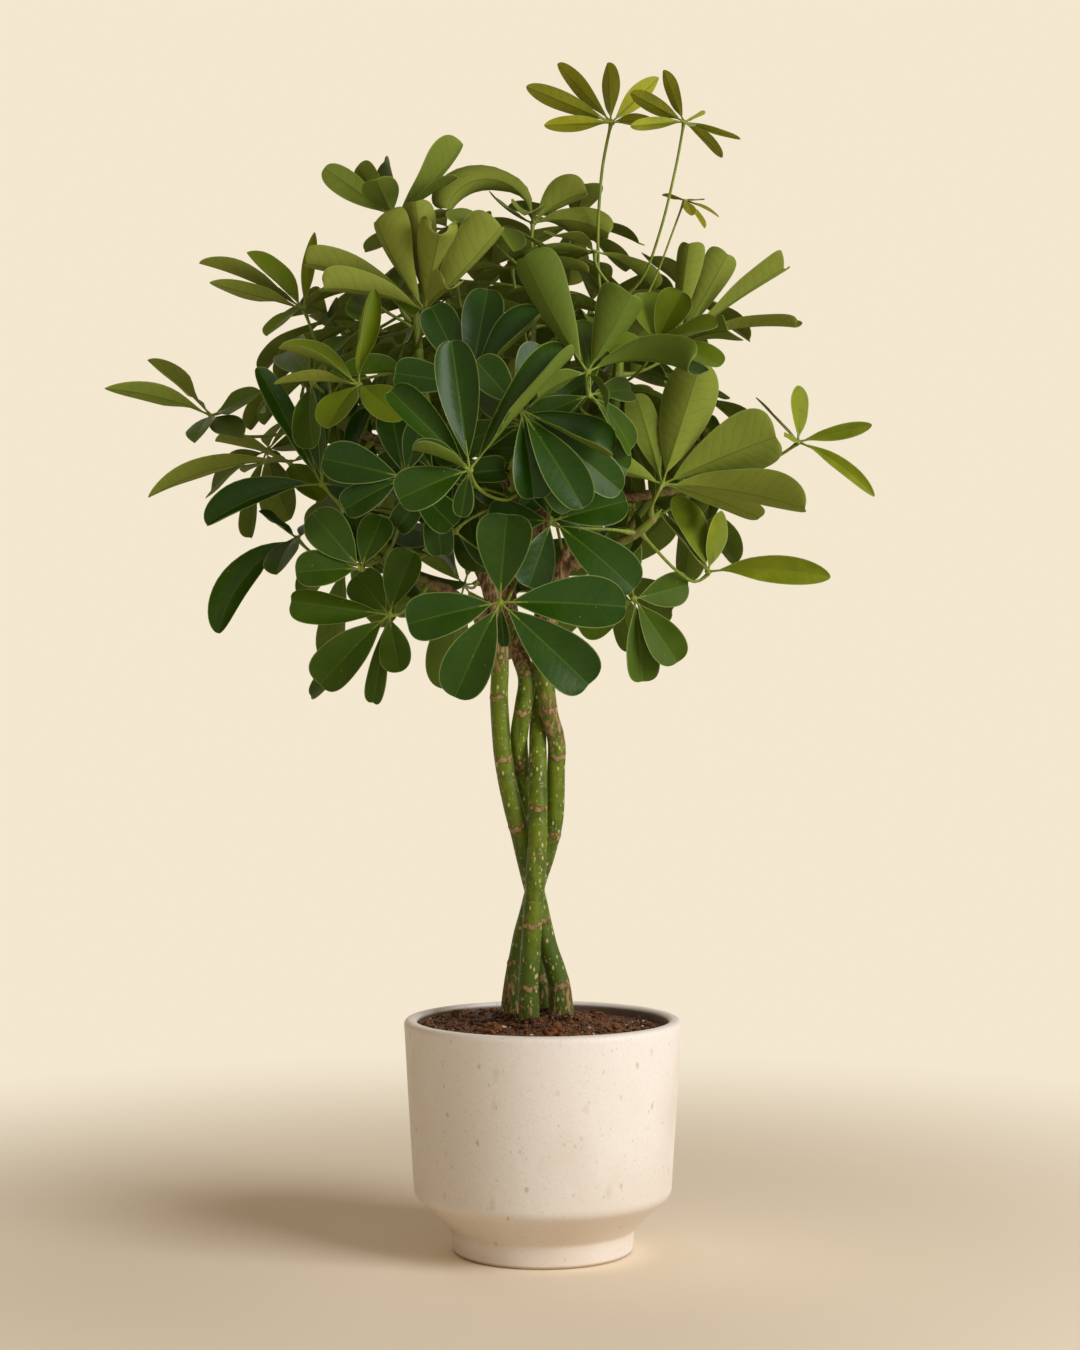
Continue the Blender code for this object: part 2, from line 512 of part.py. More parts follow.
class Wood:
    """A stem or a branch: its middle line, its radius along it, and the space it takes."""

    def __init__(self, path, radii):
        self.path = path
        self.radii = radii
        self.space = tube_space(path, radii, TUBE_SIDES)
        self.skin = tube_space(path, radii, TUBE_SIDES, 0.0)

    def at_height(self, height):
        """The point of the middle line at a height, the way it runs there and its radius."""
        nearest = min(range(1, len(self.path)), key=lambda i: abs(self.path[i].z - height))
        before, after = self.path[nearest - 1], self.path[nearest]
        share = (height - before.z) / max(after.z - before.z, MM)
        share = min(max(share, 0.0), 1.0)
        return before.lerp(after, share), (after - before).normalized(), self.radii[nearest - 1]

    def seat(self, height, towards):
        """A point just off the side of the wood at a height, and the way out from it."""
        centre, along, radius = self.at_height(height)
        out = towards - centre
        out = (out - along * out.dot(along)).normalized()
        return centre + out * (radius + GAP), out


def make_wood(name, wood, collection, spec):
    """The tube of a stem or a branch."""
    return place(name, tube_curve(name, wood.path, wood.radii), collection, spec)


def grow_stems():
    """The four plaited stems."""
    stems = {}
    for name, points in STEMS.items():
        samples = smooth_path([Vector(p) * MM for p in points], STEM_SPACING)
        stems[name] = Wood([s.to_3d() for s in samples], [s.w for s in samples])
    return stems


def grow_branches(stems):
    """The side branches, each seated on its stem."""
    branches = {}
    for name, (bearer, height, points, root, tip) in BRANCHES.items():
        route = [Vector(p) * MM for p in points]
        seat, out = stems[bearer].seat(height * MM, route[0])
        path = smooth_path([seat, seat + out * COLLAR] + route, BRANCH_SPACING)
        last = len(path) - 1
        thinning = [(i / last) ** BRANCH_TAPER for i in range(last + 1)]
        branches[name] = Wood(path, [(root + (tip - root) * share) * MM for share in thinning])
    return branches


# ---------------------------------------------------------------- leaves


def facing_vector(right, up):
    """The unit vector that looks this many degrees right of the front and up."""
    right, up = math.radians(right), math.radians(up)
    return Vector((math.sin(right) * math.cos(up), -math.cos(right) * math.cos(up), math.sin(up)))


class Leaflet:
    """One leaflet: its tip from the hub, width, roll, bend and cup."""

    def __init__(self, x, y, z, width, roll=0, bend=0, cup=6):
        self.tip = Vector((x, y, z)) * MM
        self.width = width * MM
        self.roll = math.radians(roll)
        self.bend = math.radians(bend) or 1e-4
        self.cup = math.radians(cup)

    def turned(self, facing, lift, roll, size):
        """A copy that is lifted, rolled and resized to clear its neighbours."""
        copy = Leaflet(0, 0, 0, 0)
        axis = self.tip.cross(facing).normalized()
        copy.tip = Matrix.Rotation(math.radians(lift), 3, axis) @ self.tip * size
        copy.width = self.width * size
        copy.roll = self.roll + math.radians(roll)
        copy.bend = self.bend
        copy.cup = self.cup
        return copy

    def station(self, facing, share):
        """The middle of the leaflet at a share of its length, its side and its upper normal."""
        chord = self.tip.normalized()
        normal = (facing - chord * facing.dot(chord)).normalized()
        half = self.bend / 2
        radius = self.tip.length / (2 * math.sin(half))
        turn = half - self.bend * share
        middle = chord * radius * (math.sin(half) - math.sin(turn))
        middle += normal * radius * (math.cos(turn) - math.cos(half))
        up = normal * math.cos(turn) - chord * math.sin(turn)
        side = chord.cross(normal)
        roll = self.roll * min(1.0, share / ROLLED_FROM)
        return (
            middle,
            side * math.cos(roll) - up * math.sin(roll),
            up * math.cos(roll) + side * math.sin(roll),
        )

    def rows(self, facing):
        """Rows of points across the leaflet from its stalklet to its tip, right side first."""
        middle, side, _ = self.station(facing, STALKLET_END)
        stalklet = side * min(STALKLET_HALF_WIDTH, self.width * STALKLET_SHARE)
        rows = [[middle + stalklet, middle - stalklet]]
        for share, broad in BLADE_ROWS:
            middle, side, up = self.station(facing, share)
            half = self.width / 2 * broad
            across = side * half * math.cos(self.cup)
            rise = up * half * math.sin(self.cup)
            row = [middle + across + rise, middle - across + rise]
            if share == MIDRIB_ROW:
                row.insert(1, middle)
            rows.append(row)
        return rows


def stalk_path(seat, out, hub, facing, bow):
    """The middle line of a leaf stalk from its seat on the wood to the underside of its hub."""
    end = hub - facing * (BLADE + NECK)
    span = (end - seat).length
    sideways = (end - seat).cross(facing).normalized() * bow * span
    first = seat + out * max(COLLAR, STALK_START * span) + sideways * 0.5
    second = end - facing * STALK_END * span + sideways
    path = []
    for i in range(STALK_STEPS + 1):
        t = i / STALK_STEPS
        near = seat * (1 - t) ** 3 + first * 3 * t * (1 - t) ** 2
        path.append(near + second * 3 * t**2 * (1 - t) + end * t**3)
    return path


class Leaf:
    """A palmate leaf while the crown grows: its stalk, its hub and the leaflets it keeps."""

    def __init__(self, name, bearer, height, hub, facing, leaflets):
        self.name = name
        self.bearer = bearer
        self.height = height * MM
        self.hub = Vector(hub) * MM
        self.facing = facing_vector(*facing)
        self.wanted = leaflets
        self.scale = min(1.0, max(leaflet.tip.length for leaflet in leaflets) / FULL_LEAFLET)
        self.stalk_radii = [STALK_RADIUS * math.sqrt(self.scale)] * (STALK_STEPS + 1)
        self.leaflets = []
        self.stalk = None

    def grow(self, woods, taken):
        """Settle the stalk, then each leaflet, so that they clear what has grown before."""
        own = [self.grow_stalk(woods, taken)]
        whole = [self.hub_space(), tube_space(self.stalk, self.stalk_radii, STALK_SIDES)]
        for leaflet in self.wanted:
            for size, (lift, roll) in itertools.product(SIZES, TURNS):
                tried = leaflet.turned(self.facing, lift, roll, size)
                rows = [[self.hub + p for p in row] for row in tried.rows(self.facing)]
                blade = shell_space(rows, BLADE + CLEARANCE)
                strip = shell_space([self.hub_row(tried)] + rows, BLADE + CLEARANCE)
                if not strip.meets_any(taken) and not blade.meets_any(own):
                    self.leaflets.append(tried)
                    own.append(blade)
                    whole.append(strip)
                    break
        taken += whole

    def hub_row(self, leaflet):
        """The two ends of a leaflet's place on the rim of the hub."""
        flat = (leaflet.tip - self.facing * leaflet.tip.dot(self.facing)).normalized()
        side = flat.cross(self.facing) * STALKLET_HALF_WIDTH * self.scale
        middle = self.hub + flat * HUB_RADIUS * self.scale
        return [middle + side, middle - side]

    def hub_space(self):
        """The space that the hub takes."""
        ends = [self.hub + self.facing * CLEARANCE, self.hub - self.facing * (BLADE + CLEARANCE)]
        return tube_space(ends, [HUB_RADIUS * self.scale] * 2, TUBE_SIDES)

    def route(self, wood, shift, bow):
        """A route of the stalk, whose foot just clears the wood that bears it."""
        seat, out = wood.seat(self.height + shift, self.hub)
        for _ in range(SEAT_TRIES):
            path = stalk_path(seat, out, self.hub, self.facing, bow)
            foot = tube_space(path[:2], self.stalk_radii[:2], STALK_SIDES, GAP)
            if not foot.meets(wood.skin):
                break
            seat += out * SEAT_STEP
        return path

    def grow_stalk(self, woods, taken):
        """Settle the stalk's route and return the space it takes."""
        wood = woods[self.bearer]
        others = [other for other in taken if other is not wood.space] + [self.hub_space()]
        for bow, shift in itertools.product(STALK_BOWS, STALK_SHIFTS):
            self.stalk = self.route(wood, shift, bow)
            space = tube_space(self.stalk[1:-1], self.stalk_radii[1:-1], STALK_SIDES)
            foot = tube_space(self.stalk[:2], self.stalk_radii[:2], STALK_SIDES)
            if not space.meets_any(taken) and not foot.meets_any(others):
                break
        return space

    def hub_slots(self):
        """The leaflets in order round the hub, each with the angle of its place there."""
        right = self.facing.orthogonal().normalized()
        ahead = self.facing.cross(right)

        def angle(leaflet):
            return math.atan2(leaflet.tip.dot(ahead), leaflet.tip.dot(right))

        order = sorted(self.leaflets, key=angle)
        angles = [angle(leaflet) for leaflet in order]
        count = len(angles)
        for _ in range(HUB_ROUNDS):
            for i in range(count):
                follow = (i + 1) % count
                turn = angles[follow] - angles[i] + (2 * math.pi if follow == 0 else 0)
                if turn < HUB_SLOT:
                    angles[follow] += (HUB_SLOT - turn) / 2
                    angles[i] -= (HUB_SLOT - turn) / 2
        return order, angles, right, ahead

    def mesh(self):
        """The leaf as one closed solid, about its hub."""
        shape = bmesh.new()
        order, angles, right, ahead = self.hub_slots()
        radius = HUB_RADIUS * self.scale
        rim = []
        for leaflet, middle in zip(order, angles):
            row = []
            for corner in (middle - HUB_PLACE, middle + HUB_PLACE):
                out = right * math.cos(corner) + ahead * math.sin(corner)
                row.append(shape.verts.new(out * radius))
            rim += row
            for points in leaflet.rows(self.facing):
                following = [shape.verts.new(p) for p in points]
                for face in strip_faces(row, following):
                    shape.faces.new(face)
                row = following
        shape.faces.new(rim)
        shape.normal_update()
        bmesh.ops.solidify(shape, geom=shape.faces[:], thickness=BLADE)
        bmesh.ops.recalc_face_normals(shape, faces=shape.faces[:])
        self.add_stalk(shape, len(rim))
        mesh = bpy.data.meshes.new(self.name)
        shape.to_mesh(mesh)
        shape.free()
        return mesh

    def add_stalk(self, shape, corners):
        """Loft the hub's underside into the stalk and run the stalk down to its seat."""
        hubs = [face for face in shape.faces if len(face.verts) == corners]
        under = min(hubs, key=lambda face: face.normal.dot(self.facing))
        edges = list(under.edges)
        shape.faces.remove(under)
        path = [point - self.hub for point in reversed(self.stalk)]
        rings = tube_rings(path, self.stalk_radii, STALK_SIDES)
        rings = [[shape.verts.new(p) for p in ring] for ring in rings]
        top = rings[0]
        neck = [shape.edges.new((top[k], top[(k + 1) % STALK_SIDES])) for k in range(STALK_SIDES)]
        bmesh.ops.bridge_loops(shape, edges=edges + neck)
        for ring, following in zip(rings, rings[1:]):
            for k in range(STALK_SIDES):
                after = (k + 1) % STALK_SIDES
                shape.faces.new((ring[k], ring[after], following[after], following[k]))
        shape.faces.new(rings[-1])
        bmesh.ops.recalc_face_normals(shape, faces=shape.faces[:])


def regular_leaflets(facing, count, length, first):
    """Leaflets at even turns round the hub, drooping a little, with uneven lengths."""
    ahead = facing_vector(*facing)
    right = ahead.orthogonal().normalized()
    around = ahead.cross(right)
    leaflets = []
    for i in range(count):
        turn = math.radians(first + 360 * i / count + REGULAR_SPREAD * math.sin(2.4 * i))
        long = length * (1 + REGULAR_UNEVEN * math.cos(1.9 * i + first))
        droop = math.radians(REGULAR_DROOP + REGULAR_DROOP_SPREAD * math.sin(1.7 * i + first))
        out = right * math.cos(turn) + around * math.sin(turn)
        tip = (out * math.cos(droop) - ahead * math.sin(droop)) * long
        roll = REGULAR_ROLL * math.sin(3.1 * i)
        leaflets.append(Leaflet(*tip, long * REGULAR_WIDTH, roll, REGULAR_BEND, REGULAR_CUP))
    return leaflets


def grow_leaves(woods):
    """Every leaf of the crown, in the order in which they grow past each other."""
    taken = [wood.space for wood in woods.values()]
    leaves = []
    for table, spec in ((YOUNG_LEAVES, YOUNG_LEAF), (MATURE_LEAVES, MATURE_LEAF)):
        for name, (bearer, height, hub, facing, rows) in table.items():
            leaflets = [Leaflet(*row) for row in rows]
            leaves.append((Leaf(name, bearer, height, hub, facing, leaflets), spec))
    for name, (bearer, height, hub, facing, count, length, first) in REGULAR_LEAVES.items():
        leaflets = regular_leaflets(facing, count, length, first)
        leaves.append((Leaf(name, bearer, height, hub, facing, leaflets), OLIVE_LEAF))
    for leaf, _ in leaves:
        leaf.grow(woods, taken)
    return leaves


def main():
    """Build the pot, the soil, the wood and the leaves."""
    clear_scene()
    tree = new_collection("potted_umbrella_tree")
    cutters = new_collection("cutters")
    cutters.hide_render = True
    stems = grow_stems()
    branches = grow_branches(stems)
    make_pot(tree)
    make_soil(tree, cutters, stems)
    for name, stem in stems.items():
        make_wood(name, stem, tree, GREEN_BARK)
    for name, branch in branches.items():
        make_wood(name, branch, tree, BROWN_BARK)
    for leaf, spec in grow_leaves(stems | branches):
        place(leaf.name, leaf.mesh(), tree, spec, leaf.hub)


main()
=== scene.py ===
"""The looks of a potted umbrella tree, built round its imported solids.

Metres, +Z up, and -Y is the front. The solids say where every leaf, stem and rim lies. The classes
below give each of them its grown, plaited or thrown shape, and its finish.
"""

from __future__ import annotations

import itertools
import json
import logging
import math
import random
import sys
from dataclasses import dataclass, field, replace
from enum import Enum

import bmesh
import bpy
import numpy as np
from mathutils import Matrix, Vector, noise
from mathutils.bvhtree import BVHTree
from mathutils.kdtree import KDTree

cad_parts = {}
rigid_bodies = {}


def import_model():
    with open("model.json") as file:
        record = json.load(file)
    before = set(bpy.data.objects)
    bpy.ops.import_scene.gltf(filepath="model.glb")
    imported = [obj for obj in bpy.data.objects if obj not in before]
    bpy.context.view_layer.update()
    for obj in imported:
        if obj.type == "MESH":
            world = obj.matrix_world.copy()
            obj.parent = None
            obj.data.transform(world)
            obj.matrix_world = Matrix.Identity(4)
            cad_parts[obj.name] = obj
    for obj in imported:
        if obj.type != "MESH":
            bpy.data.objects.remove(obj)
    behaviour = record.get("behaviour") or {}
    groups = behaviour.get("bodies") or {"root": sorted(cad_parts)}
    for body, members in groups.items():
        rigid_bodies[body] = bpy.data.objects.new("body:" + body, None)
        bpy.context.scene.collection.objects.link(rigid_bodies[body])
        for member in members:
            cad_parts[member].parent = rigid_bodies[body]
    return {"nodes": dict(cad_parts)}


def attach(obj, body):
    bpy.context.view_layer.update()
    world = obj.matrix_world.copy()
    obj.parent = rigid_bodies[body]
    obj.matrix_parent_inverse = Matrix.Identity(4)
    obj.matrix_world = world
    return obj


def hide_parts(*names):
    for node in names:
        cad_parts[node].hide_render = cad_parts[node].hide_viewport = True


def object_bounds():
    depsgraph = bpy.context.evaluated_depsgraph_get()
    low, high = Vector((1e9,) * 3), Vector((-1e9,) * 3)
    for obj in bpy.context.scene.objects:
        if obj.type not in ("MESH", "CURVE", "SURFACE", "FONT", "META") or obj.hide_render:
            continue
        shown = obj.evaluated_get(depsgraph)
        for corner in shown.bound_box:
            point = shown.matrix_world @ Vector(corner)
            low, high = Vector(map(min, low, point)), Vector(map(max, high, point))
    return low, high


for leftover in list(bpy.data.objects):
    bpy.data.objects.remove(leftover)
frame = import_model()
cad_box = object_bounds()

Array = np.ndarray
Pair = tuple[float, float]
Triple = tuple[float, float, float]
Colour = Triple
MM = 0.001
Faces = list[tuple[int, ...]]
TURN = 2 * math.pi
LOG = logging.getLogger("umbrella_tree")

# ------------ shader maths


class Value:
    """An output socket that Python's operators extend with Math nodes."""

    def __init__(self, graph: Nodes, socket: bpy.types.NodeSocket) -> None:
        """Wrap a socket of a tree."""
        self.graph = graph
        self.socket = socket

    def _math(self, operation: str, *terms: Value | float) -> Value:
        """The result of a Math node that takes these terms."""
        return self.graph.node("ShaderNodeMath", {"operation": operation}, dict(enumerate(terms)))

    def __add__(self, other: Value | float) -> Value:
        """self + other."""
        return self._math("ADD", self, other)

    __radd__ = __add__

    def __sub__(self, other: Value | float) -> Value:
        """self - other."""
        return self._math("SUBTRACT", self, other)

    def __rsub__(self, other: float) -> Value:
        """other - self."""
        return self._math("SUBTRACT", other, self)

    def __mul__(self, other: Value | float) -> Value:
        """self * other."""
        return self._math("MULTIPLY", self, other)

    __rmul__ = __mul__

    def __truediv__(self, other: Value | float) -> Value:
        """self / other."""
        return self._math("DIVIDE", self, other)

    def __gt__(self, other: Value | float) -> Value:
        """1 where self is above other, else 0."""
        return self._math("GREATER_THAN", self, other)

    def __abs__(self) -> Value:
        """The value without its sign."""
        return self._math("ABSOLUTE", self)

    def beside(self, output: str) -> Value:
        """Another output of the same node."""
        return Value(self.graph, self.socket.node.outputs[output])

    def parts(self) -> tuple[Value, Value, Value]:
        """The three numbers of a vector."""
        first = self.graph.node("ShaderNodeSeparateXYZ", inputs={0: self})
        return first, first.beside("Y"), first.beside("Z")

    def fraction(self) -> Value:
        """What is left after the whole number."""
        return self._math("FRACT", self)

    def either(self, other: Value | float) -> Value:
        """The larger of the two."""
        return self._math("MAXIMUM", self, other)

    def rise(self, low: float, high: float) -> Value:
        """Ease from 0 to 1 as the value goes from low to high."""
        settings = {"interpolation_type": "SMOOTHSTEP"}
        return self.graph.node("ShaderNodeMapRange", settings, {0: self, 1: low, 2: high})

    def fall(self, low: float, high: float) -> Value:
        """Ease from 1 to 0 as the value goes from low to high."""
        return 1.0 - self.rise(low, high)


class Nodes:
    """A tree of shader nodes."""

    def __init__(self, tree: bpy.types.NodeTree) -> None:
        """Work on a tree."""
        self.tree = tree

    def node(
        self,
        kind: str,
        settings: dict[str, object] | None = None,
        inputs: dict[int | str, object] | None = None,
        output: int | str = 0,
    ) -> Value:
        """Add a node.

        Args:
            kind: The node's type.
            settings: Its properties, and the stops of a colour ramp, which are set first.
            inputs: Values or links of its sockets.
            output: The socket that is wanted from it.

        Returns:
            That output.
        """
        made = self.tree.nodes.new(kind)
        for key, value in (settings or {}).items():
            if key == "stops":
                self._set_stops(made.color_ramp.elements, value)
            else:
                setattr(made, key, value)
        for key, value in (inputs or {}).items():
            self.feed(made.inputs[key], value)
        return Value(self, made.outputs[output])

    @staticmethod
    def _set_stops(elements: bpy.types.ColorRampElements, stops: list[tuple[float, Colour]]) -> None:
        """Set the stops of a colour ramp."""
        while len(elements) < len(stops):
            elements.new(1.0)
        for element, (place, colour) in zip(elements, stops):
            element.position = place
            element.color = (*colour, 1.0)

    def feed(self, socket: bpy.types.NodeSocket, value: object) -> None:
        """Link a value to an input socket, or set it there."""
        if isinstance(value, Value):
            self.tree.links.new(value.socket, socket)
        elif isinstance(value, tuple) and len(value) == 3 and socket.type == "RGBA":
            socket.default_value = (*value, 1.0)
        else:
            socket.default_value = value

    def blend(self, factor: Value, first: bpy.types.Node, second: Value, output: str) -> None:
        """End the tree in a blend of two shaders.

        Args:
            factor: How much of the second.
            first: The node of the first.
            second: The second.
            output: The name of the tree's output node.
        """
        inputs = {0: factor, 1: Value(self, first.outputs[0]), 2: second}
        mixed = self.node("ShaderNodeMixShader", inputs=inputs)
        self.feed(self.tree.nodes[output].inputs["Surface"], mixed)


class Graph(Nodes):
    """The node tree of one material."""

    def __init__(self, name: str) -> None:
        """Start a material with a Principled surface."""
        self.material = bpy.data.materials.new(name)
        self.material.use_nodes = True
        super().__init__(self.material.node_tree)
        self.surface = self.tree.nodes["Principled BSDF"]

    def mix(self, factor: Value | float, first: Value | Colour, second: Value | Colour) -> Value:
        """Two colours mixed, with this much of the second."""
        return self.node("ShaderNodeMix", {"data_type": "RGBA"}, {0: factor, 6: first, 7: second}, 2)

    def ramp(self, value: Value, stops: list[tuple[float, Colour]]) -> Value:
        """A colour that changes with a value through the given stops."""
        return self.node("ShaderNodeValToRGB", {"stops": stops}, {0: value})

    def vectors(self, operation: str, inputs: dict[int | str, object], output: int | str = 0) -> Value:
        """The result of a Vector Math node."""
        return self.node("ShaderNodeVectorMath", {"operation": operation}, inputs, output)

    def place(self, stretch: Triple = (1.0, 1.0, 1.0)) -> Value:
        """The place on the object, stretched along its axes."""
        own = self.node("ShaderNodeTexCoord", output="Object")
        return self.vectors("MULTIPLY", {0: own, 1: stretch})

    def away(self, stretch: Triple = (1.0, 1.0, 1.0)) -> Value:
        """How far each place is from the object's origin, stretched along its axes."""
        return self.vectors("LENGTH", {0: self.place(stretch)}, "Value")

    def marks(self, name: str) -> tuple[Value, Value, Value]:
        """The three numbers that a form holds at each point under this name."""
        return self.node("ShaderNodeAttribute", {"attribute_name": name}, output="Vector").parts()

    def scaled(self, per_metre: float | Triple, place: Value | None = None) -> tuple[Value, float]:
        """Where a pattern is read and at what scale, for features per metre or for each axis its own."""
        own_axes = isinstance(per_metre, tuple)
        return (self.place(per_metre), 1.0) if own_axes else (place or self.place(), per_metre)

    def cloud(self, per_metre: float | Triple, detail: float = 3.0) -> Value:
        """Soft noise between 0 and 1, with so many features per metre and finer layers."""
        where, scale = self.scaled(per_metre)
        inputs = {"Vector": where, "Scale": scale, "Detail": detail}
        return self.node("ShaderNodeTexNoise", inputs=inputs)

    def uneven(self, stretch: Triple, per_metre: float, reach: float) -> Value:
        """The place on the object, shifted a little so that drawn edges are not quite even.

        Args:
            stretch: How the place is stretched along its axes.
            per_metre: Features of the shift per metre.
            reach: How far it shifts, in the stretched measure.

        Returns:
            The shifted place.
        """
        inputs = {"Vector": self.place(), "Scale": per_metre}
        soft = self.node("ShaderNodeTexNoise", inputs=inputs, output="Color")
        middle = self.vectors("SUBTRACT", {0: soft, 1: (0.5, 0.5, 0.5)})
        shift = self.vectors("SCALE", {0: middle, "Scale": reach})
        return self.vectors("ADD", {0: self.place(stretch), 1: shift})

    def cells(self, per_metre: float | Triple, place: Value | None = None) -> tuple[Value, Value]:
        """Scattered points.

        Args:
            per_metre: How closely they lie, along each axis where that differs.
            place: Where they are read, or None for the place on the object.

        Returns:
            The distance to the nearest point, in its share of the room, and the point's chance number.
        """
        where, scale = self.scaled(per_metre, place)
        distance = self.node("ShaderNodeTexVoronoi", inputs={"Vector": where, "Scale": scale})
        return distance, distance.beside("Color").parts()[0]

    def finish(self, colour: Value, roughness: Value, relief: Value, depth: float, shine: float) -> None:
        """Dress the surface.

        Args:
            colour: Its colour.
            roughness: Its roughness.
            relief: The height of its fine relief, from 0 to 1.
            depth: How deep that relief is, in metres.
            shine: How much it mirrors.
        """
        bump = self.node("ShaderNodeBump", inputs={"Strength": 1.0, "Distance": depth, "Height": relief})
        dress = {"Base Color": colour, "Roughness": roughness, "Normal": bump, "Specular IOR Level": shine}
        for socket, value in dress.items():
            self.feed(self.surface.inputs[socket], value)


# ------------ the plant's own measures

FULL_LEAFLET = 60 * MM  # a leaf with shorter leaflets has a smaller hub and a thinner stalk
STALKLET_END = 0.18
BLADE_ROWS = ((0.47, 0.80), (0.76, 1.0), (1.0, 0.34))
MIDRIB_ROW = 0.76
ROLLED_FROM = 0.4  # share of the length by which a leaflet has turned through its whole roll
# How a crowded leaflet gives way: lift and roll in degrees, then size
TURNS = (
    (0, 0), (8, 0), (-8, 0), (0, 15), (0, -15), (15, 0), (-15, 0), (10, 20), (-10, -20),
    (22, 0), (-22, 0), (0, 35), (0, -35), (30, 15), (-30, -15), (38, 0), (-38, 0),
)
SIZES = (1.0, 0.86, 0.72)
# How single leaflets have curled: degrees of roll, bend and cup that they gain, and their width's share
CURLS = {
    "leaf_crown_top": {
        0: (0, 14, 26, 1.15), 1: (0, 16, 22, 1.1), 2: (60, -30, 30, 1.35), 5: (0, 10, 20, 1.0)},
    "leaf_crown_left": {3: (0, -8, 16, 1.05)},
    "leaf_crown_front": {
        0: (-14, -10, 18, 1.3), 1: (10, 26, 24, 1.5), 2: (0, 30, 6, 1.3), 3: (14, 4, 14, 1.3),
        4: (0, 14, 20, 1.1), 5: (0, 16, 22, 1.05)},
    "leaf_front_glossy": {0: (0, 0, 8, 1.05), 2: (-4, 0, 16, 1.25), 4: (0, 10, 10, 1.1)},
    "leaf_front_middle": {2: (-58, 0, 14, 1.1)},
    "leaf_centre_upper": {2: (-34, 8, 14, 1.15)},
    "leaf_left_low": {3: (-50, 0, 4, 1.0)},
    "leaf_front_high": {0: (-6, 0, 12, 1.25), 1: (6, 6, 14, 1.35), 2: (0, 34, 24, 1.3)},
    "leaf_far_left": {0: (40, 8, 8, 0.95), 1: (0, 8, 8, 0.75)},
    "leaf_left_middle": {0: (0, 8, 14, 1.0)},
    "leaf_left_upper": {0: (0, 16, 16, 1.15), 2: (20, 14, 18, 1.1)},
    "leaf_left_crown": {0: (0, 8, 14, 1.1), 1: (0, 0, 12, 1.15)},
    "leaf_left_sweep": {0: (0, 6, 12, 1.0)},
    "leaf_left_droop": {0: (0, 0, 20, 1.0)},
    "leaf_crown_right": {
        0: (0, 0, 16, 1.1), 1: (0, 0, 16, 1.1), 2: (0, 0, 16, 1.05), 3: (16, 14, 14, 1.05)},
    "leaf_right_middle": {0: (4, 0, 6, 1.25), 1: (0, 0, 10, 1.25), 2: (6, 0, 6, 1.25)},
    "leaf_right_long": {0: (22, 8, 8, 0.9)},
    "young_leaf_far_right": {1: (26, 0, 10, 0.9), 2: (18, 8, 10, 0.85)},
    "young_leaf_small": {1: (35, 10, 0, 1.2), 2: (35, 10, 0, 1.2), 3: (35, 10, 0, 1.2)},
}
NO_CURL = (0, 0, 0, 1.0)

# The plaited stems, from root to tip: points and radius in millimetres
STEMS = {
    "stem_left": (
        (15, -6, 138, 10.4), (13.5, -6, 165, 9.4), (12, -7, 188, 8.3), (8.5, -7.5, 203, 7.6),
        (2.5, -8, 222, 7.2), (-6, -8.4, 259, 7.1), (-17, -9, 303, 7), (-27, -8, 345, 6.7),
        (-31, -7, 390, 6.5), (-31, -5, 430, 6.3), (-38, -5, 474, 5.9), (-56, -2, 517, 5.3),
        (-76, 2, 570, 4.5), (-88, 6, 630, 3.9), (-94, 8, 690, 3.4)),
    "stem_rear": (
        (-2, 17, 138, 6.9), (-1, 17, 165, 6.9), (-1, 17, 188, 6.8), (-4, 19, 222, 6.8),
        (-6, 21.8, 259, 6.8), (-10, 12, 303, 6.7), (-15.5, 4, 345, 6.5), (-17.3, -1, 367, 6.3),
        (-14, -4, 390, 6.4), (-11.5, 0, 410, 6.4), (-17, 10, 428, 6.2), (-22, 19, 446, 5.9),
        (-25, 30, 474, 5.6), (-28, 48, 520, 5), (-32, 62, 580, 4.2), (-32, 66, 650, 3.4)),
    "stem_front": (
        (-9, -23, 138, 7.5), (-9.5, -23, 165, 7.5), (-10, -23, 188, 7.3), (-8.5, -23.2, 222, 7.2),
        (-6, -23.4, 259, 7.1), (-3.5, -20, 303, 6.9), (-3.5, -13, 345, 6.5), (-3.5, -2, 367, 6.1),
        (-3, 11, 390, 6.1), (-2, 18, 430, 6), (0, 16, 474, 5.6), (0, 10, 520, 5),
        (-4, 8, 580, 4.3), (-8, 10, 640, 3.7), (-8, 14, 715, 3.2)),
    "stem_right": (
        (-24, 0, 138, 7.6), (-23, 0, 165, 7.3), (-21.5, 1, 188, 7), (-15, 5, 222, 6.9),
        (-5.5, 6.7, 259, 6.8), (7, -1, 303, 6.8), (9.5, -3.5, 345, 6.5), (9.5, -5, 367, 6.3),
        (4, -7, 390, 6.4), (1.5, -6.5, 430, 6.2), (10, -10, 474, 5.8), (26, -12, 520, 5.2),
        (44, -8, 570, 4.6), (54, 2, 630, 3.9), (56, 6, 690, 3.4)),
}
RING_REACH = 2.73  # how far apart two corners of a branch's ring may be, in root radii
# Side branches: where each ends, then the radius of its root and of its tip, in millimetres
BRANCHES = {
    "branch_left_low": ((-132, -40, 508), 4.2, 2.8),
    "branch_left": ((-172, -6, 612), 3.8, 2.6),
    "branch_front": ((-22, -82, 556), 4.2, 2.8),
    "branch_right": ((84, -34, 530), 3.8, 2.8),
    "branch_right_far": ((136, 16, 562), 3.6, 2.4),
    "branch_left_back": ((-116, 104, 566), 4.0, 2.8),
    "branch_back": ((-16, 134, 630), 3.8, 2.6),
    "branch_right_back": ((88, 90, 556), 4.2, 2.8),
}

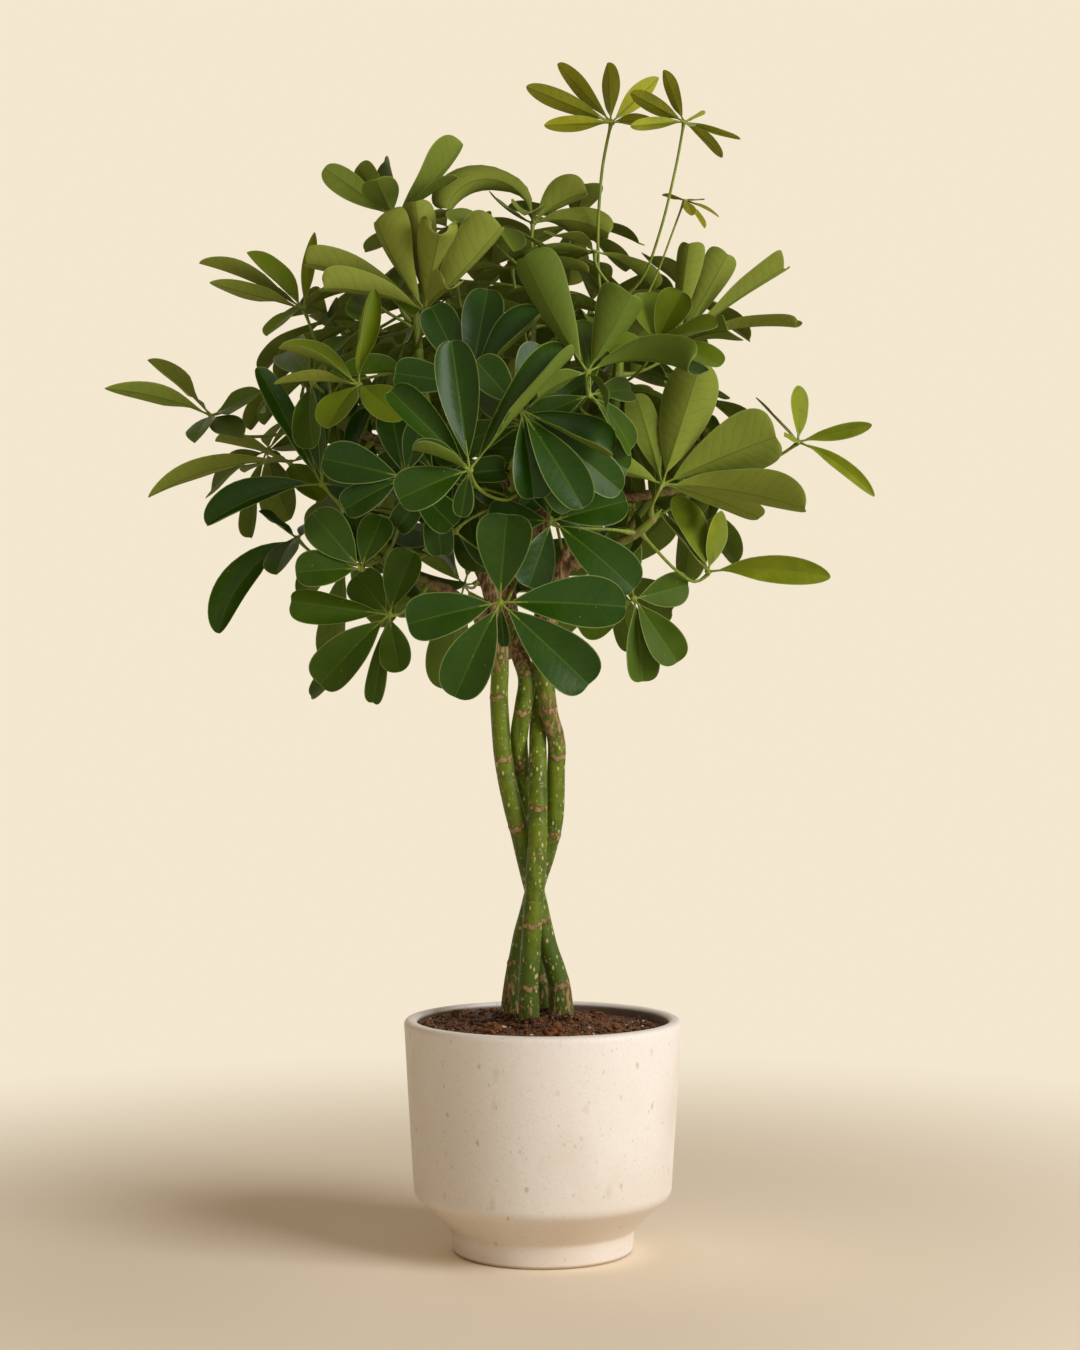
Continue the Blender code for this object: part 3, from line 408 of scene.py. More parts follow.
# Leaves: the hub, the way the upper side faces (degrees right of the front, degrees up), the tone
# from 0 for deep green to 1 for the youngest, how pointed the leaflets are (above 1 they taper, below
# 0 their tips are cut off blunt), and the leaflets. A leaflet is its tip from the hub and its width in
# millimetres, and where they are not plain its roll, bend and cup in degrees.
MATURE_LEAVES = {
    "leaf_front_low": ((-29, -120, 462), (-5, 20), 0.13, 0, (
        (5, -5, 59, 38, 0, 14, 8), (85, 8, -3, 38, 0, 16, 8), (60, -10, -56, 38, 0, 14, 8),
        (-30, -8, -64, 35, 0, 16, 8), (-62, -5, -15, 35, 0, 12, 8), (3, 14, -30, 9))),
    "leaf_front_glossy": ((-48, -170, 547), (0, 22), 0.12, 0, (
        (-52, 5, 52, 27, 0, 12, 26), (-12, 8, 85, 31, 0, 15, 22), (68, 12, 78, 32, -35, 25, 32),
        (-46, -8, -20, 32, 0, 14, 8), (-39, -12, 10, 22, 55, 30, 34), (-6, 16, -30, 14))),
    "leaf_front_middle": ((-15, -130, 590), (15, 5), 0.08, 0, (
        (9, -8, -60, 28, 0, 20, 12), (40, -8, -70, 30, 0, 20, 12), (61, -5, -28, 32, 25, 25, 26),
        (72, 16, -52, 28, 0, 16), (-30, 6, 34, 26), (12, 14, 46, 26))),
    "leaf_front_high": ((30, -110, 618), (170, 42), 0.17, -0.5, (
        (-44, -10, 77, 36, 0, -20, 22), (30, -8, 53, 32, 0, -20, 22), (69, -12, -2, 34, 20, 62, 20),
        (-52, -20, 4, 28, 0, 20), (12, -42, -34, 28, 0, 30))),
    "leaf_front_right_low": ((6, -82, 519), (20, 12), 0.1, 0, (
        (56, -14, -48, 36, 0, 24, 8), (52, 4, 14, 28, 0, 10), (-14, -6, 44, 26), (-44, -8, 6, 28),
        (-16, -6, -46, 28))),
    # painted light: the tones of leaf_left_low, leaf_left_bud and leaf_left_droop are raised to lighten these
    # left-hand leaves as light from the front-left would
    "leaf_left_low": ((-107, -64, 455), (-20, 12), 0.36, 0, (
        (-47, -8, -49, 35, 0, 18, 8), (8, -8, -40, 24), (-56, 20, -57, 22, 30), (-68, -4, 9, 30, 25, 0, 28),
        (-23, 8, 28, 28), (-12, 16, -62, 16), (18, -10, 43, 31, 0, 12, 20))),
    "leaf_left_bud": ((-125, -84, 486), (-12, 20), 0.28, 0, (
        (-33, -5, 38, 30, 0, 14, 8), (-44, -8, -3, 28, 0, 12, 8), (15, 2, 36, 26, 0, 12, 8),
        (-6, 20, 42, 22))),
    "leaf_left_droop": ((-173, -40, 510), (-40, 55), 0.28, 0.9, (
        (-54, -12, -68, 30, -45, 60, 14), (-26, -6, 18, 26, 20), (-10, -42, -28, 26, 0, 30),
        (20, 36, 18, 24))),
    "leaf_left_middle": ((-154, -62, 546), (-35, 35), 0.1, 0.4, (
        (-79, -5, -29, 30, -15, 36, 20), (-1, 8, 74, 24, 0, 12), (-45, 10, 82, 22, 55),
        (3, -16, 38, 10, 0, -10, 20), (42, -34, -12, 28, 0, 24))),
    "leaf_left_inner": ((-94, -104, 547), (-10, 15), 0.04, 0, (
        (-55, -8, 12, 30, 0, 12, 8), (-41, -10, -20, 24, 0, 12, 8), (-10, 8, 48, 24), (16, -6, 40, 20),
        (34, -8, -34, 24, 0, 16))),
    "leaf_far_left": ((-237, -10, 599), (-60, 68), 0.5, 1.6, (
        (-49, 22, 42, 24, 35, 12), (-72, -26, 16, 24, 50, 12), (38, -24, 14, 22, 40), (26, -32, -20, 24),
        (-6, -44, -24, 22, 0, 20), (10, 46, 8, 22))),
    "leaf_left_sweep": ((-180, -22, 565), (-50, 66), 0.58, 1.2, (
        (-98, -16, -27, 26, 40, 30, 6), (-55, 18, 16, 32, 40, 20, 14), (20, -50, -8, 28, 0, 26),
        (40, 40, 14, 26), (-26, -52, -12, 24, 0, 22))),
    # painted light: the tones of leaf_left_crown and leaf_left_upper are raised to lift the shade on the
    # crown's left
    "leaf_left_crown": ((-172, 0, 677), (-35, 60), 0.72, 1.0, (
        (-74, -8, 31, 26, 35, 12, 10), (-44, 16, 37, 26, 20, 12, 10), (-64, -28, 14, 22, 40),
        (6, 20, 58, 12), (-22, -44, -26, 20, 0, 20), (28, -36, 16, 26))),
    "leaf_left_upper": ((-126, -90, 612), (-20, 50), 0.7, 0.7, (
        (-54, -4, 24, 25, 20, 18, 12), (-56, -18, -2, 22, 45, 22, 10), (10, 6, 66, 22, 45, 20, 30),
        (30, -26, -28, 28, 0, 24), (-18, -38, -34, 28, 0, 24))),
    "leaf_crown_left": ((-108, 8, 744), (-150, 64), 0.42, 0, (
        (-50, 0, 35, 20, 60), (-27, 10, 38, 24, 20), (-8, 20, 44, 28, 0, -12, 10),
        (50, 5, 54, 35, 0, -14, 10), (47, -16, 26, 24, 20), (-10, -46, 18, 26))),
    "leaf_crown_front": ((-82, -60, 667), (175, 52), 0.7, -0.5, (
        (-35, 4, 65, 33, 0, -14, 14), (-8, 14, 80, 29, 0, -10, 30), (10, -12, 54, 40, 0, 30, 48),
        (50, -4, 62, 34, 0, -16, 26), (-85, 8, 34, 26, 0, 22, 10), (-70, -18, 12, 30, 0, 24, 14),
        (18, -46, 8, 30, 0, 40, 40))),
    "leaf_centre_upper": ((-50, -80, 612), (0, 15), 0.09, 0, (
        (-27, 5, 55, 27, 0, 10, 10), (12, 5, 67, 29, 0, 10, 10), (50, -5, 50, 29, 0, 14, 22),
        (-52, -2, 8, 26, 0, 14), (34, -8, -30, 26, 0, 20))),
    "leaf_crown_top": ((-7, 20, 742), (150, 72), 0.66, 0, (
        (39, -4, 21, 30, -20, 24, 12), (55, -10, -10, 26, -25, 30, 12), (-62, -8, 8, 27, 0, 200, 20),
        (-30, 34, 26, 26, 0, -20), (20, 50, 10, 28, 0, 20), (-6, -52, -4, 28, 0, 34))),
    "leaf_crown_right": ((98, 20, 654), (150, 50), 0.64, -0.7, (
        (9, 5, 76, 23, 0, -12, 12), (42, 8, 71, 27, 0, -12, 12), (81, -4, 57, 27, 20, 14, 12),
        (87, -12, 10, 25, 20, 30, 10), (36, -40, 4, 27, 0, 28))),
    "leaf_crown_right_front": ((78, -62, 643), (20, 48), 0.64, 0, (
        (-9, 4, 36, 30, 0, 10, 14), (22, 2, 34, 27, 0, 12, 14), (42, -18, 10, 27, 0, 20, 10),
        (44, -22, -18, 28, 0, 30), (2, -42, -26, 28, 0, 26), (-38, -18, -4, 28, 0, 20))),
    "leaf_right_middle": ((84, -46, 547), (160, 34), 0.54, -0.1, (
        (27, 2, 87, 33, 0, -12, 14), (80, -6, 33, 40, 0, 16, 8), (99, -10, -18, 35, 15, 34, 12),
        (72, 26, -30, 26, 20, 20), (-51, -16, 13, 30, 0, 16, 44), (-19, 10, 64, 22, 40))),
    "leaf_right_low": ((66, 6, 468), (20, -10), 0.42, 0, (
        (6, 0, -60, 26, 0, 12, 10), (31, -6, -46, 28, 0, 12, 10), (-40, 8, -22, 26), (-12, 14, 52, 28),
        (44, 20, 10, 26))),
}
YOUNG_LEAVES = {
    "young_leaf_tall": ((50, 20, 815), (160, 48), 0.88, 0.8, (
        (-62, 10, 28, 16, 15), (-39, 20, 47, 17), (-2, 25, 49, 19), (35, 16, 36, 17),
        (-49, -12, -5, 13, 15), (-5, -46, -10, 16, 0, 12), (31, -36, -8, 13, 0, 12))),
    "young_leaf_tall_right": ((101, -10, 809), (168, 52), 0.88, 0.8, (
        (-14, 15, 40, 14), (-38, 8, 22, 14, 15), (-42, -14, 2, 11, 15), (16, 20, 10, 10),
        (40, -6, -14, 11, 25), (31, -16, -26, 12, 0, 14), (2, -30, -10, 12, 0, 12))),
    "young_leaf_small": ((102, 0, 755), (120, 66), 1.0, 0.8, (
        (-16, 4, 4, 7), (4, -14, -14, 8, 0, 12), (17, -9, -20, 8, 0, 12), (25, 3, -12, 8, 0, 12),
        (15, 15, 3, 8))),
    "young_leaf_far_right": ((185, 10, 582), (40, 40), 0.8, 0.8, (
        (1, 6, 41, 17), (52, -8, 11, 13, 30), (53, -14, -41, 14, 20, 20), (-30, 10, 33, 12, 30),
        (-12, -20, 2, 9))),
    "leaf_right_long": ((121, 30, 489), (20, 50), 0.8, 0.8, (
        (88, -12, -5, 24, 30, 14, 8), (-38, 8, 46, 20, 30), (-26, 26, 52, 26, 0, 20),
        (10, 16, 43, 18, 30))),
}
# Leaves whose leaflets follow a rule: hub, facing, length in millimetres, first turn in degrees
REGULAR_LEAVES = {
    "leaf_back_low_left": ((-150, 118, 500), (-128, 20), 72, 10),
    "leaf_back_low": ((-62, 176, 484), (-162, 16), 74, 34),
    "leaf_back_low_right": ((52, 172, 492), (164, 16), 70, 0),
    "leaf_right_back_low": ((112, 120, 550), (136, 24), 62, 22),
    "leaf_left_back": ((-208, 84, 582), (-110, 36), 74, 18),
    "leaf_back_left": ((-146, 172, 592), (-142, 30), 76, 40),
    "leaf_back": ((-38, 212, 586), (-176, 26), 76, 12),
    "leaf_back_right": ((76, 190, 594), (156, 28), 74, 30),
    "leaf_right_back": ((122, 128, 628), (128, 40), 68, 8),
    "leaf_back_crown_left": ((-160, 92, 684), (-122, 50), 70, 26),
    "leaf_back_crown": ((-72, 156, 692), (-160, 52), 70, 2),
    "leaf_back_crown_right": ((38, 142, 700), (158, 52), 70, 36),
    "leaf_right_back_crown": ((108, 92, 700), (130, 52), 62, 14),
    "leaf_top_back_left": ((-70, 74, 748), (-146, 74), 64, 20),
    "leaf_top_back": ((24, 84, 752), (150, 72), 62, 44),
    "leaf_inner_left": ((-108, 40, 640), (-90, 60), 60, 4),
    "leaf_inner_right": ((112, 26, 600), (100, 48), 60, 24),
    "leaf_inner_back": ((20, 62, 640), (120, 60), 58, 16),
}


# ------------ finishes


@dataclass(frozen=True)
class Stoneware:
    """Cream glaze on speckled clay, satin to the touch."""

    glaze: Colour = (0.82, 0.775, 0.725)
    warm_glaze: Colour = (0.75, 0.675, 0.595)
    # painted shade of the shoulder, which faces down
    shoulder_shade: Colour = (0.60, 0.44, 0.30)
    clay: Colour = (0.47, 0.33, 0.19)
    speck: Colour = (0.38, 0.23, 0.105)
    # painted shade of the inner wall above the soil
    inner_wall_shade: Colour = (0.065, 0.033, 0.015)
    foot_line: float = 1.3 * MM

    def specks(self, graph: Graph, per_metre: float, size: float, share: float) -> Value:
        """Iron specks that bleed a little down the glaze.

        Args:
            graph: The finish that they are part of.
            per_metre: How closely they may lie.
            size: Their size, as a share of the room that each has.
            share: The share of places that have one.

        Returns:
            How strong they are at each place.
        """
        near, chance = graph.cells(per_metre, graph.uneven((1.0, 1.0, 0.62), 90.0, 3.0 * MM))
        edge = size * (0.35 + 0.65 * chance.rise(1.0 - share, 1.0))
        return (1.0 - (near / edge).rise(0.45, 1.15)) * (chance > 1.0 - share)

    def material(self) -> bpy.types.Material:
        """Make the glaze, its specks, the painted shade on the shoulder and inside the rim, and the bare clay
        of the foot's edge.
        """
        graph = Graph("cream_stoneware")
        height = graph.place().parts()[2]
        drift = graph.cloud(9.0, 4.0)
        colour = graph.mix(drift.rise(0.44, 0.70), self.glaze, self.warm_glaze)
        colour = graph.mix(graph.cloud(460.0, 3.0).rise(0.46, 0.74) * 0.38, colour, self.warm_glaze)
        colour = graph.mix(graph.cloud(1100.0, 2.0).rise(0.55, 0.75) * 0.22, colour, self.clay)
        large = self.specks(graph, 92.0, 0.17, 0.45)
        middling = self.specks(graph, 190.0, 0.21, 0.42)
        fine = self.specks(graph, 480.0, 0.26, 0.40)
        ghosts = self.specks(graph, 64.0, 0.26, 0.50)
        colour = graph.mix(ghosts * 0.20, colour, self.clay)
        colour = graph.mix(fine * 0.34, colour, self.clay)
        colour = graph.mix(middling * 0.36, colour, self.clay)
        colour = graph.mix(large * 0.42, colour, self.speck)
        # painted shade: the shoulder band, which faces down, is darkened towards a brown
        shoulder = height.rise(0.010, 0.020) * height.fall(0.034, 0.046)
        colour = graph.mix(shoulder * 0.34, colour, self.shoulder_shade)
        bare = height.fall(self.foot_line, 2.4 * self.foot_line)
        colour = graph.mix(bare * 0.75, colour, self.clay)
        # painted shade: the inner wall above the soil is darkened almost to black, as the shade inside the
        # rim
        inside = graph.away((1.0, 1.0, 0.0)).fall(0.0908, 0.0922)
        inner_wall_shading = inside * (height + 0.003 * drift).fall(0.1645, 0.1668) * height.rise(0.12, 0.13)
        colour = graph.mix(inner_wall_shading * 0.94, colour, self.inner_wall_shade)
        skin = graph.cloud(300.0, 4.0) * 0.4 + graph.cloud(70.0, 2.0) * 0.6
        relief = skin - 0.3 * large.either(middling)
        graph.finish(colour, 0.46 + 0.14 * graph.cloud(34.0) + 0.2 * bare, relief, 0.35 * MM, 0.4)
        return graph.material


@dataclass(frozen=True)
class PottingSoil:
    """Moist peat and bark, each crumb with its own colour."""

    peat: Colour = (0.011, 0.006, 0.004)
    bark: Colour = (0.235, 0.082, 0.024)
    straw: Colour = (0.41, 0.205, 0.080)
    rust: Colour = (0.23, 0.085, 0.026)
    grit: Colour = (0.62, 0.55, 0.45)
    moss: Colour = (0.070, 0.095, 0.022)

    def material(self) -> bpy.types.Material:
        """Colour each crumb by the kind and the chance number that it carries."""
        graph = Graph("potting_soil")
        kind, chance, _ = graph.marks("crumb")
        grain = graph.cloud(700.0, 5.0)
        colour = graph.mix(grain.rise(0.40, 0.66), self.peat, self.bark)
        colour = graph.mix(chance.rise(0.35, 1.0) * 0.75, colour, self.peat)
        colour = graph.mix(graph.cloud(1400.0, 4.0).rise(0.56, 0.66) * 0.55, colour, self.straw)
        for least, strength, shade in (
            (0.5, 0.75, self.rust), (1.5, 0.70, self.straw), (2.5, 0.90, self.grit), (3.5, 0.85, self.moss),
        ):
            colour = graph.mix((kind > least) * strength * grain.rise(0.25, 0.5), colour, shade)
        relief = grain * 0.7 + graph.cloud(2200.0, 3.0) * 0.3
        graph.finish(colour, 0.70 + 0.22 * grain, relief, 0.9 * MM, 0.3)
        return graph.material


@dataclass(frozen=True)
class GreenBark:
    """Smooth green bark with pale pores, leaf scars and corky brown patches."""

    green: Colour = (0.135, 0.185, 0.010)
    shade: Colour = (0.052, 0.090, 0.006)
    pore: Colour = (0.52, 0.47, 0.20)
    scar: Colour = (0.37, 0.24, 0.12)
    cork: Colour = (0.115, 0.062, 0.024)
    dry: Colour = (0.34, 0.21, 0.10)

    def material(self) -> bpy.types.Material:
        """Make the bark of a plaited stem."""
        graph = Graph("green_bark")
        scar, cork, height = graph.marks("bark")
        streak = graph.cloud((130.0, 130.0, 16.0), 4.0)
        mottle = graph.cloud(95.0, 3.0)
        # painted shade: low down near the soil the bark is darkened towards its shade colour
        low = (height + 0.02 * (mottle - 0.5)).fall(0.200, 0.250)
        lit = (streak * 0.6 + mottle * 0.4 - 0.07 * low).rise(0.36, 0.60)
        colour = graph.mix(lit, self.shade, self.green)
        colour = graph.mix(low * 0.84, colour, self.shade)
        rough = graph.cloud((420.0, 420.0, 150.0), 5.0)
        specks = graph.cloud((560.0, 560.0, 260.0), 3.0).rise(0.60, 0.70)
        colour = graph.mix(specks * 0.35, colour, self.dry)
        fleck, chance = graph.cells((250.0, 250.0, 135.0))
        pores = fleck.fall(0.15, 0.28) * (chance > 0.25) * (0.30 + 0.7 * chance)
        dots, dot_chance = graph.cells((520.0, 520.0, 250.0))
        dots = dots.fall(0.14, 0.28) * (dot_chance > 0.72) * 0.6
        nick, nick_chance = graph.cells(1.0, graph.uneven((150.0, 150.0, 400.0), 260.0, 1.1))
        nicks = nick.fall(0.13, 0.26) * (nick_chance > 0.62)
        colour = graph.mix(nicks * 0.75, colour, self.scar)
        worn = (cork + (rough - 0.5) * 1.3 + (streak - 0.5) * 0.7).rise(0.42, 0.62)
        brown = graph.mix(rough.rise(0.44, 0.60), self.cork, self.dry)
        colour = graph.mix(worn, colour, brown)
        colour = graph.mix(pores.either(dots) * (1.0 - 0.6 * worn), colour, self.pore)
        ring = scar.rise(0.25, 0.55)
        lip = scar.rise(0.05, 0.25) - ring
        colour = graph.mix(lip * 0.75, colour, self.cork)
        colour = graph.mix(ring * 0.84, colour, graph.mix(rough.rise(0.34, 0.56), self.cork, self.scar))
        relief = streak * 0.25 + pores * 0.35 + worn * rough * 0.9 + ring * (0.2 + 0.4 * rough)
        graph.finish(colour, 0.42 + 0.14 * streak + 0.3 * worn.either(ring), relief, 0.7 * MM, 0.16)
        return graph.material


@dataclass(frozen=True)
class BrownBark:
    """The thin brown bark of a side branch, greener towards its tip."""

    bark: Colour = (0.095, 0.048, 0.018)
    ridge: Colour = (0.24, 0.15, 0.07)
    green: Colour = (0.120, 0.165, 0.015)

    def material(self) -> bpy.types.Material:
        """Make the bark of a side branch."""
        graph = Graph("brown_bark")
        young, ring, _ = graph.marks("bark")
        grain = graph.cloud(330.0, 5.0)
        colour = graph.mix(grain.rise(0.38, 0.68), self.bark, self.ridge)
        colour = graph.mix((young + (grain - 0.5) * 0.6).rise(0.3, 0.8), colour, self.green)
        colour = graph.mix(ring * 0.7, colour, self.ridge)
        graph.finish(colour, 0.62 + 0.2 * grain, grain + ring * 0.5, 0.7 * MM, 0.25)
        return graph.material


class Side(Enum):
    """The two faces of a leaflet."""

    UPPER = "upper"
    UNDER = "under"


@dataclass(frozen=True)
class LeafFace:
    """One face of the leaflets: glossy above, matt and paler below."""

    side: Side
    shades: tuple[Colour, ...]
    vein: Colour
    margin: Colour
    roughness: float
    rib_strength: float
    vein_strength: float
    quilt: float
    shine: float

    def material(self) -> bpy.types.Material:
        """Colour the face by its leaf's tone, and draw its veins and pale margin."""
        graph = Graph(f"leaf_{self.side.value}")
        across, along, edge = graph.marks("blade")
        tone, share, seed = graph.marks("leaf")
        off = abs(across)
        mottle = graph.cloud(75.0, 3.0)
        shade = tone + (mottle - 0.5) * 0.22 + (seed - 0.5) * 0.10
        colour = graph.ramp(shade, list(zip(SHADE_STOPS, self.shades)))
        veins = ((along - off * 0.62) / 7.4 + mottle * 1.6).fraction() - 0.5
        side_veins = abs(veins).fall(0.0, 0.09) * off.rise(0.6, 2.2) * edge.rise(0.8, 3.0)
        net = graph.cells(520.0)[0]
        rib_width = 0.35 + 0.55 * (1.0 - share)
        rib = 1.0 - (off / rib_width).rise(0.7, 1.5)
        blemish, chance = graph.cells(110.0)
        colour = graph.mix(blemish.fall(0.04, 0.07) * (chance > 0.6) * 0.5, colour, self.margin)
        colour = graph.mix(side_veins * self.vein_strength, colour, self.vein)
        colour = graph.mix(rib * self.rib_strength, colour, self.vein)
        colour = graph.mix(edge.fall(0.30, 0.80) * 0.55, colour, self.margin)
        quilt = abs(veins).rise(0.0, 0.4) * off.rise(0.4, 3.0)
        relief = quilt * self.quilt + net.rise(0.1, 0.7) * 0.10 - rib * 0.3
        roughness = self.roughness + 0.24 * tone.rise(0.15, 0.40) + 0.12 * (mottle - 0.5) + 0.08 * seed
        graph.finish(colour, roughness, relief, 0.22 * MM, self.shine)
        return graph.material


SHADE_STOPS = (0.0, 0.25, 0.5, 0.75, 0.87, 1.0)  # the tones that the shades below stand for
UPPER_FACE = LeafFace(
    Side.UPPER,
    (
        (0.011, 0.044, 0.001), (0.027, 0.066, 0.0012), (0.066, 0.112, 0.002),
        (0.125, 0.165, 0.003), (0.215, 0.235, 0.006), (0.190, 0.155, 0.004),
    ),
    vein=(0.12, 0.20, 0.02),
    margin=(0.26, 0.33, 0.10),
    roughness=0.30,
    rib_strength=0.26,
    vein_strength=0.05,
    quilt=0.16,
    shine=0.15,
)
# The undersides are paler as they are, and their shades are made lighter still as painted light for the light
# that shines through the leaves, most of all the stop at 0.87.
UNDER_FACE = LeafFace(
    Side.UNDER,
    (
        (0.078, 0.120, 0.015), (0.108, 0.152, 0.020), (0.165, 0.205, 0.028),
        (0.218, 0.250, 0.040), (0.300, 0.310, 0.024), (0.24, 0.215, 0.006),
    ),
    vein=(0.060, 0.100, 0.008),
    margin=(0.24, 0.30, 0.06),
    roughness=0.50,
    rib_strength=0.50,
    vein_strength=0.26,
    quilt=0.30,
    shine=0.06,
)


@dataclass(frozen=True)
class LeafStalk:
    """The pale green stalk of a leaf, browner at its foot."""

    green: Colour = (0.21, 0.255, 0.022)
    dark: Colour = (0.095, 0.145, 0.012)
    foot: Colour = (0.16, 0.12, 0.04)

    def material(self) -> bpy.types.Material:
        """Make the skin of a stalk and of the hub that it ends in."""
        graph = Graph("leaf_stalk")
        _, share, _ = graph.marks("leaf")
        streak = graph.cloud((420.0, 420.0, 60.0), 3.0)
        colour = graph.mix(streak.rise(0.3, 0.7) * 0.7, self.green, self.dark)
        colour = graph.mix(share.fall(0.0, 0.07) * 0.8, colour, self.foot)
        graph.finish(colour, 0.42 + 0.1 * streak, streak, 0.25 * MM, 0.3)
        return graph.material


# ------------ forms


@dataclass
class Form:
    """Points, faces, finishes and marks that make up one mesh."""

    points: list[Array] = field(default_factory=list)
    faces: Faces = field(default_factory=list)
    finishes: list[int] = field(default_factory=list)
    marks: dict[str, list[Array]] = field(default_factory=dict)
    count: int = 0

    def add(self, points: Array, faces: Faces, finish: int | list[int] = 0, **marks: Array) -> None:
        """Add some points and the faces between them.

        Args:
            points: One row of three numbers for each point.
            faces: Corners of each face, counted from the first of these points.
            finish: Which of the form's finishes all faces take, or each of them.
            marks: Three numbers for each point, under the name that the finish reads.
        """
        self.faces += [tuple(corner + self.count for corner in face) for face in faces]
        self.finishes += finish if isinstance(finish, list) else [finish] * len(faces)
        self.points.append(points)
        self.count += len(points)
        for name, values in marks.items():
            self.marks.setdefault(name, []).append(values)

    def build(self, name: str, slot: str, materials: list[bpy.types.Material], *nodes: str) -> None:
        """Make the piece, which moves with the plant and stands for its solids.

        Args:
            name: The piece's name.
            slot: The name of the slot of its finish, which is only logged.
            materials: Its finishes.
            nodes: The solids that it stands for.
        """
        mesh = bpy.data.meshes.new(name)
        inside = np.clip(np.concatenate(self.points), *np.array(cad_box))
        mesh.from_pydata(inside.tolist(), [], self.faces)
        for material in materials:
            mesh.materials.append(material)
        mesh.polygons.foreach_set("material_index", self.finishes)
        for key, values in self.marks.items():
            layer = mesh.attributes.new(key, "FLOAT_VECTOR", "POINT")
            layer.data.foreach_set("vector", np.concatenate(values).astype(np.float32).ravel())
        mesh.shade_smooth()
        mesh.set_sharp_from_angle(angle=math.radians(50))
        piece = placed(name, mesh)
        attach(piece, "root")
        if nodes:
            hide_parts(*nodes)
        LOG.info("%s: %d faces, %s, for %s", name, len(self.faces), slot, ", ".join(nodes) or "no solid")


def placed(name: str, data: bpy.types.ID) -> bpy.types.Object:
    """A new object of the scene that holds this mesh, lamp or camera."""
    piece = bpy.data.objects.new(name, data)
    bpy.context.scene.collection.objects.link(piece)
    return piece


def norm(vector: Array) -> float:
    """The length of a vector."""
    return float(np.linalg.norm(vector))


def unit(vector: Array) -> Array:
    """The vector, or each row of them, at length one."""
    return vector / np.linalg.norm(vector, axis=-1, keepdims=True)


def ease(values: Array, low: float, high: float) -> Array:
    """Ease from 0 to 1 as the values go from low to high."""
    share = np.clip((values - low) / (high - low), 0.0, 1.0)
    return share * share * (3 - 2 * share)


def belt_faces(rings: int, sides: int) -> Faces:
    """The faces between rings that follow each other, each with so many points."""
    faces = []
    for ring, side in itertools.product(range(rings - 1), range(sides)):
        low, after = ring * sides, (side + 1) % sides
        faces.append((low + side, low + after, low + sides + after, low + sides + side))
    return faces


def end_faces(rings: int, sides: int) -> Faces:
    """The two faces that close the ends of a row of rings."""
    last = (rings - 1) * sides
    return [tuple(reversed(range(sides))), tuple(range(last, last + sides))]


def smooth_line(points: Array, spacing: float) -> Array:
    """Points at about this spacing on a smooth curve through the given points.

    Args:
        points: Rows that start with the three numbers of a place.
        spacing: The distance between two points of the curve.

    Returns:
        Rows of the same width.
    """
    ends = [points[0] * 2 - points[1], *points, points[-1] * 2 - points[-2]]
    line = []
    for a, b, c, d in zip(ends, ends[1:], ends[2:], ends[3:]):
        steps = max(1, round(norm(c - b) / spacing))
        for t in np.arange(steps) / steps:
            curve = (2 * a - 5 * b + 4 * c - d) * t**2 + (3 * b - a - 3 * c + d) * t**3
            line.append(0.5 * (2 * b + (c - a) * t + curve))
    line.append(points[-1])
    return np.array(line)


def lengths_along(line: Array) -> Array:
    """How far along a line each of its points lies."""
    steps = np.linalg.norm(np.diff(line, axis=0), axis=1)
    return np.concatenate([[0.0], np.cumsum(steps)])


@dataclass
class Limb:
    """A round limb of the plant, as rings of points round its middle line."""

    line: Array
    radii: Array
    sides: int

    def __post_init__(self) -> None:
        """Carry a frame along the line without twisting it."""
        before = np.concatenate([self.line[:1], self.line[:-1]])
        after = np.concatenate([self.line[1:], self.line[-1:]])
        self.along = unit(after - before)
        first = unit(np.array(Vector(self.along[0]).orthogonal()))
        self.first = []
        for way in self.along:
            first = unit(first - way * first.dot(way))
            self.first.append(first)
        self.first = np.array(self.first)
        self.second = np.cross(self.along, self.first)

    def outward(self) -> Array:
        """The way out from the middle line at each point of each ring."""
        turns = np.arange(self.sides) * TURN / self.sides
        first = self.first[:, None, :] * np.cos(turns)[None, :, None]
        return first + self.second[:, None, :] * np.sin(turns)[None, :, None]

    def surface(self, swell: Array | float = 0.0) -> Array:
        """The points of the limb's skin, ring after ring.

        Args:
            swell: How far each point stands proud of the plain limb.

        Returns:
            The points.
        """
        radii = self.radii[:, None] + swell + np.zeros((1, self.sides))
        return (self.line[:, None, :] + self.outward() * radii[:, :, None]).reshape(-1, 3)

    def faces(self) -> Faces:
        """The faces of the limb and of its two ends."""
        return belt_faces(len(self.line), self.sides) + end_faces(len(self.line), self.sides)


def rough(points: Array, per_metre: float) -> Array:
    """Smooth noise from -1 to 1 at each point, with so many features per metre."""
    return np.array([noise.noise(Vector(point) * per_metre) for point in points])


# ------------ pot and soil


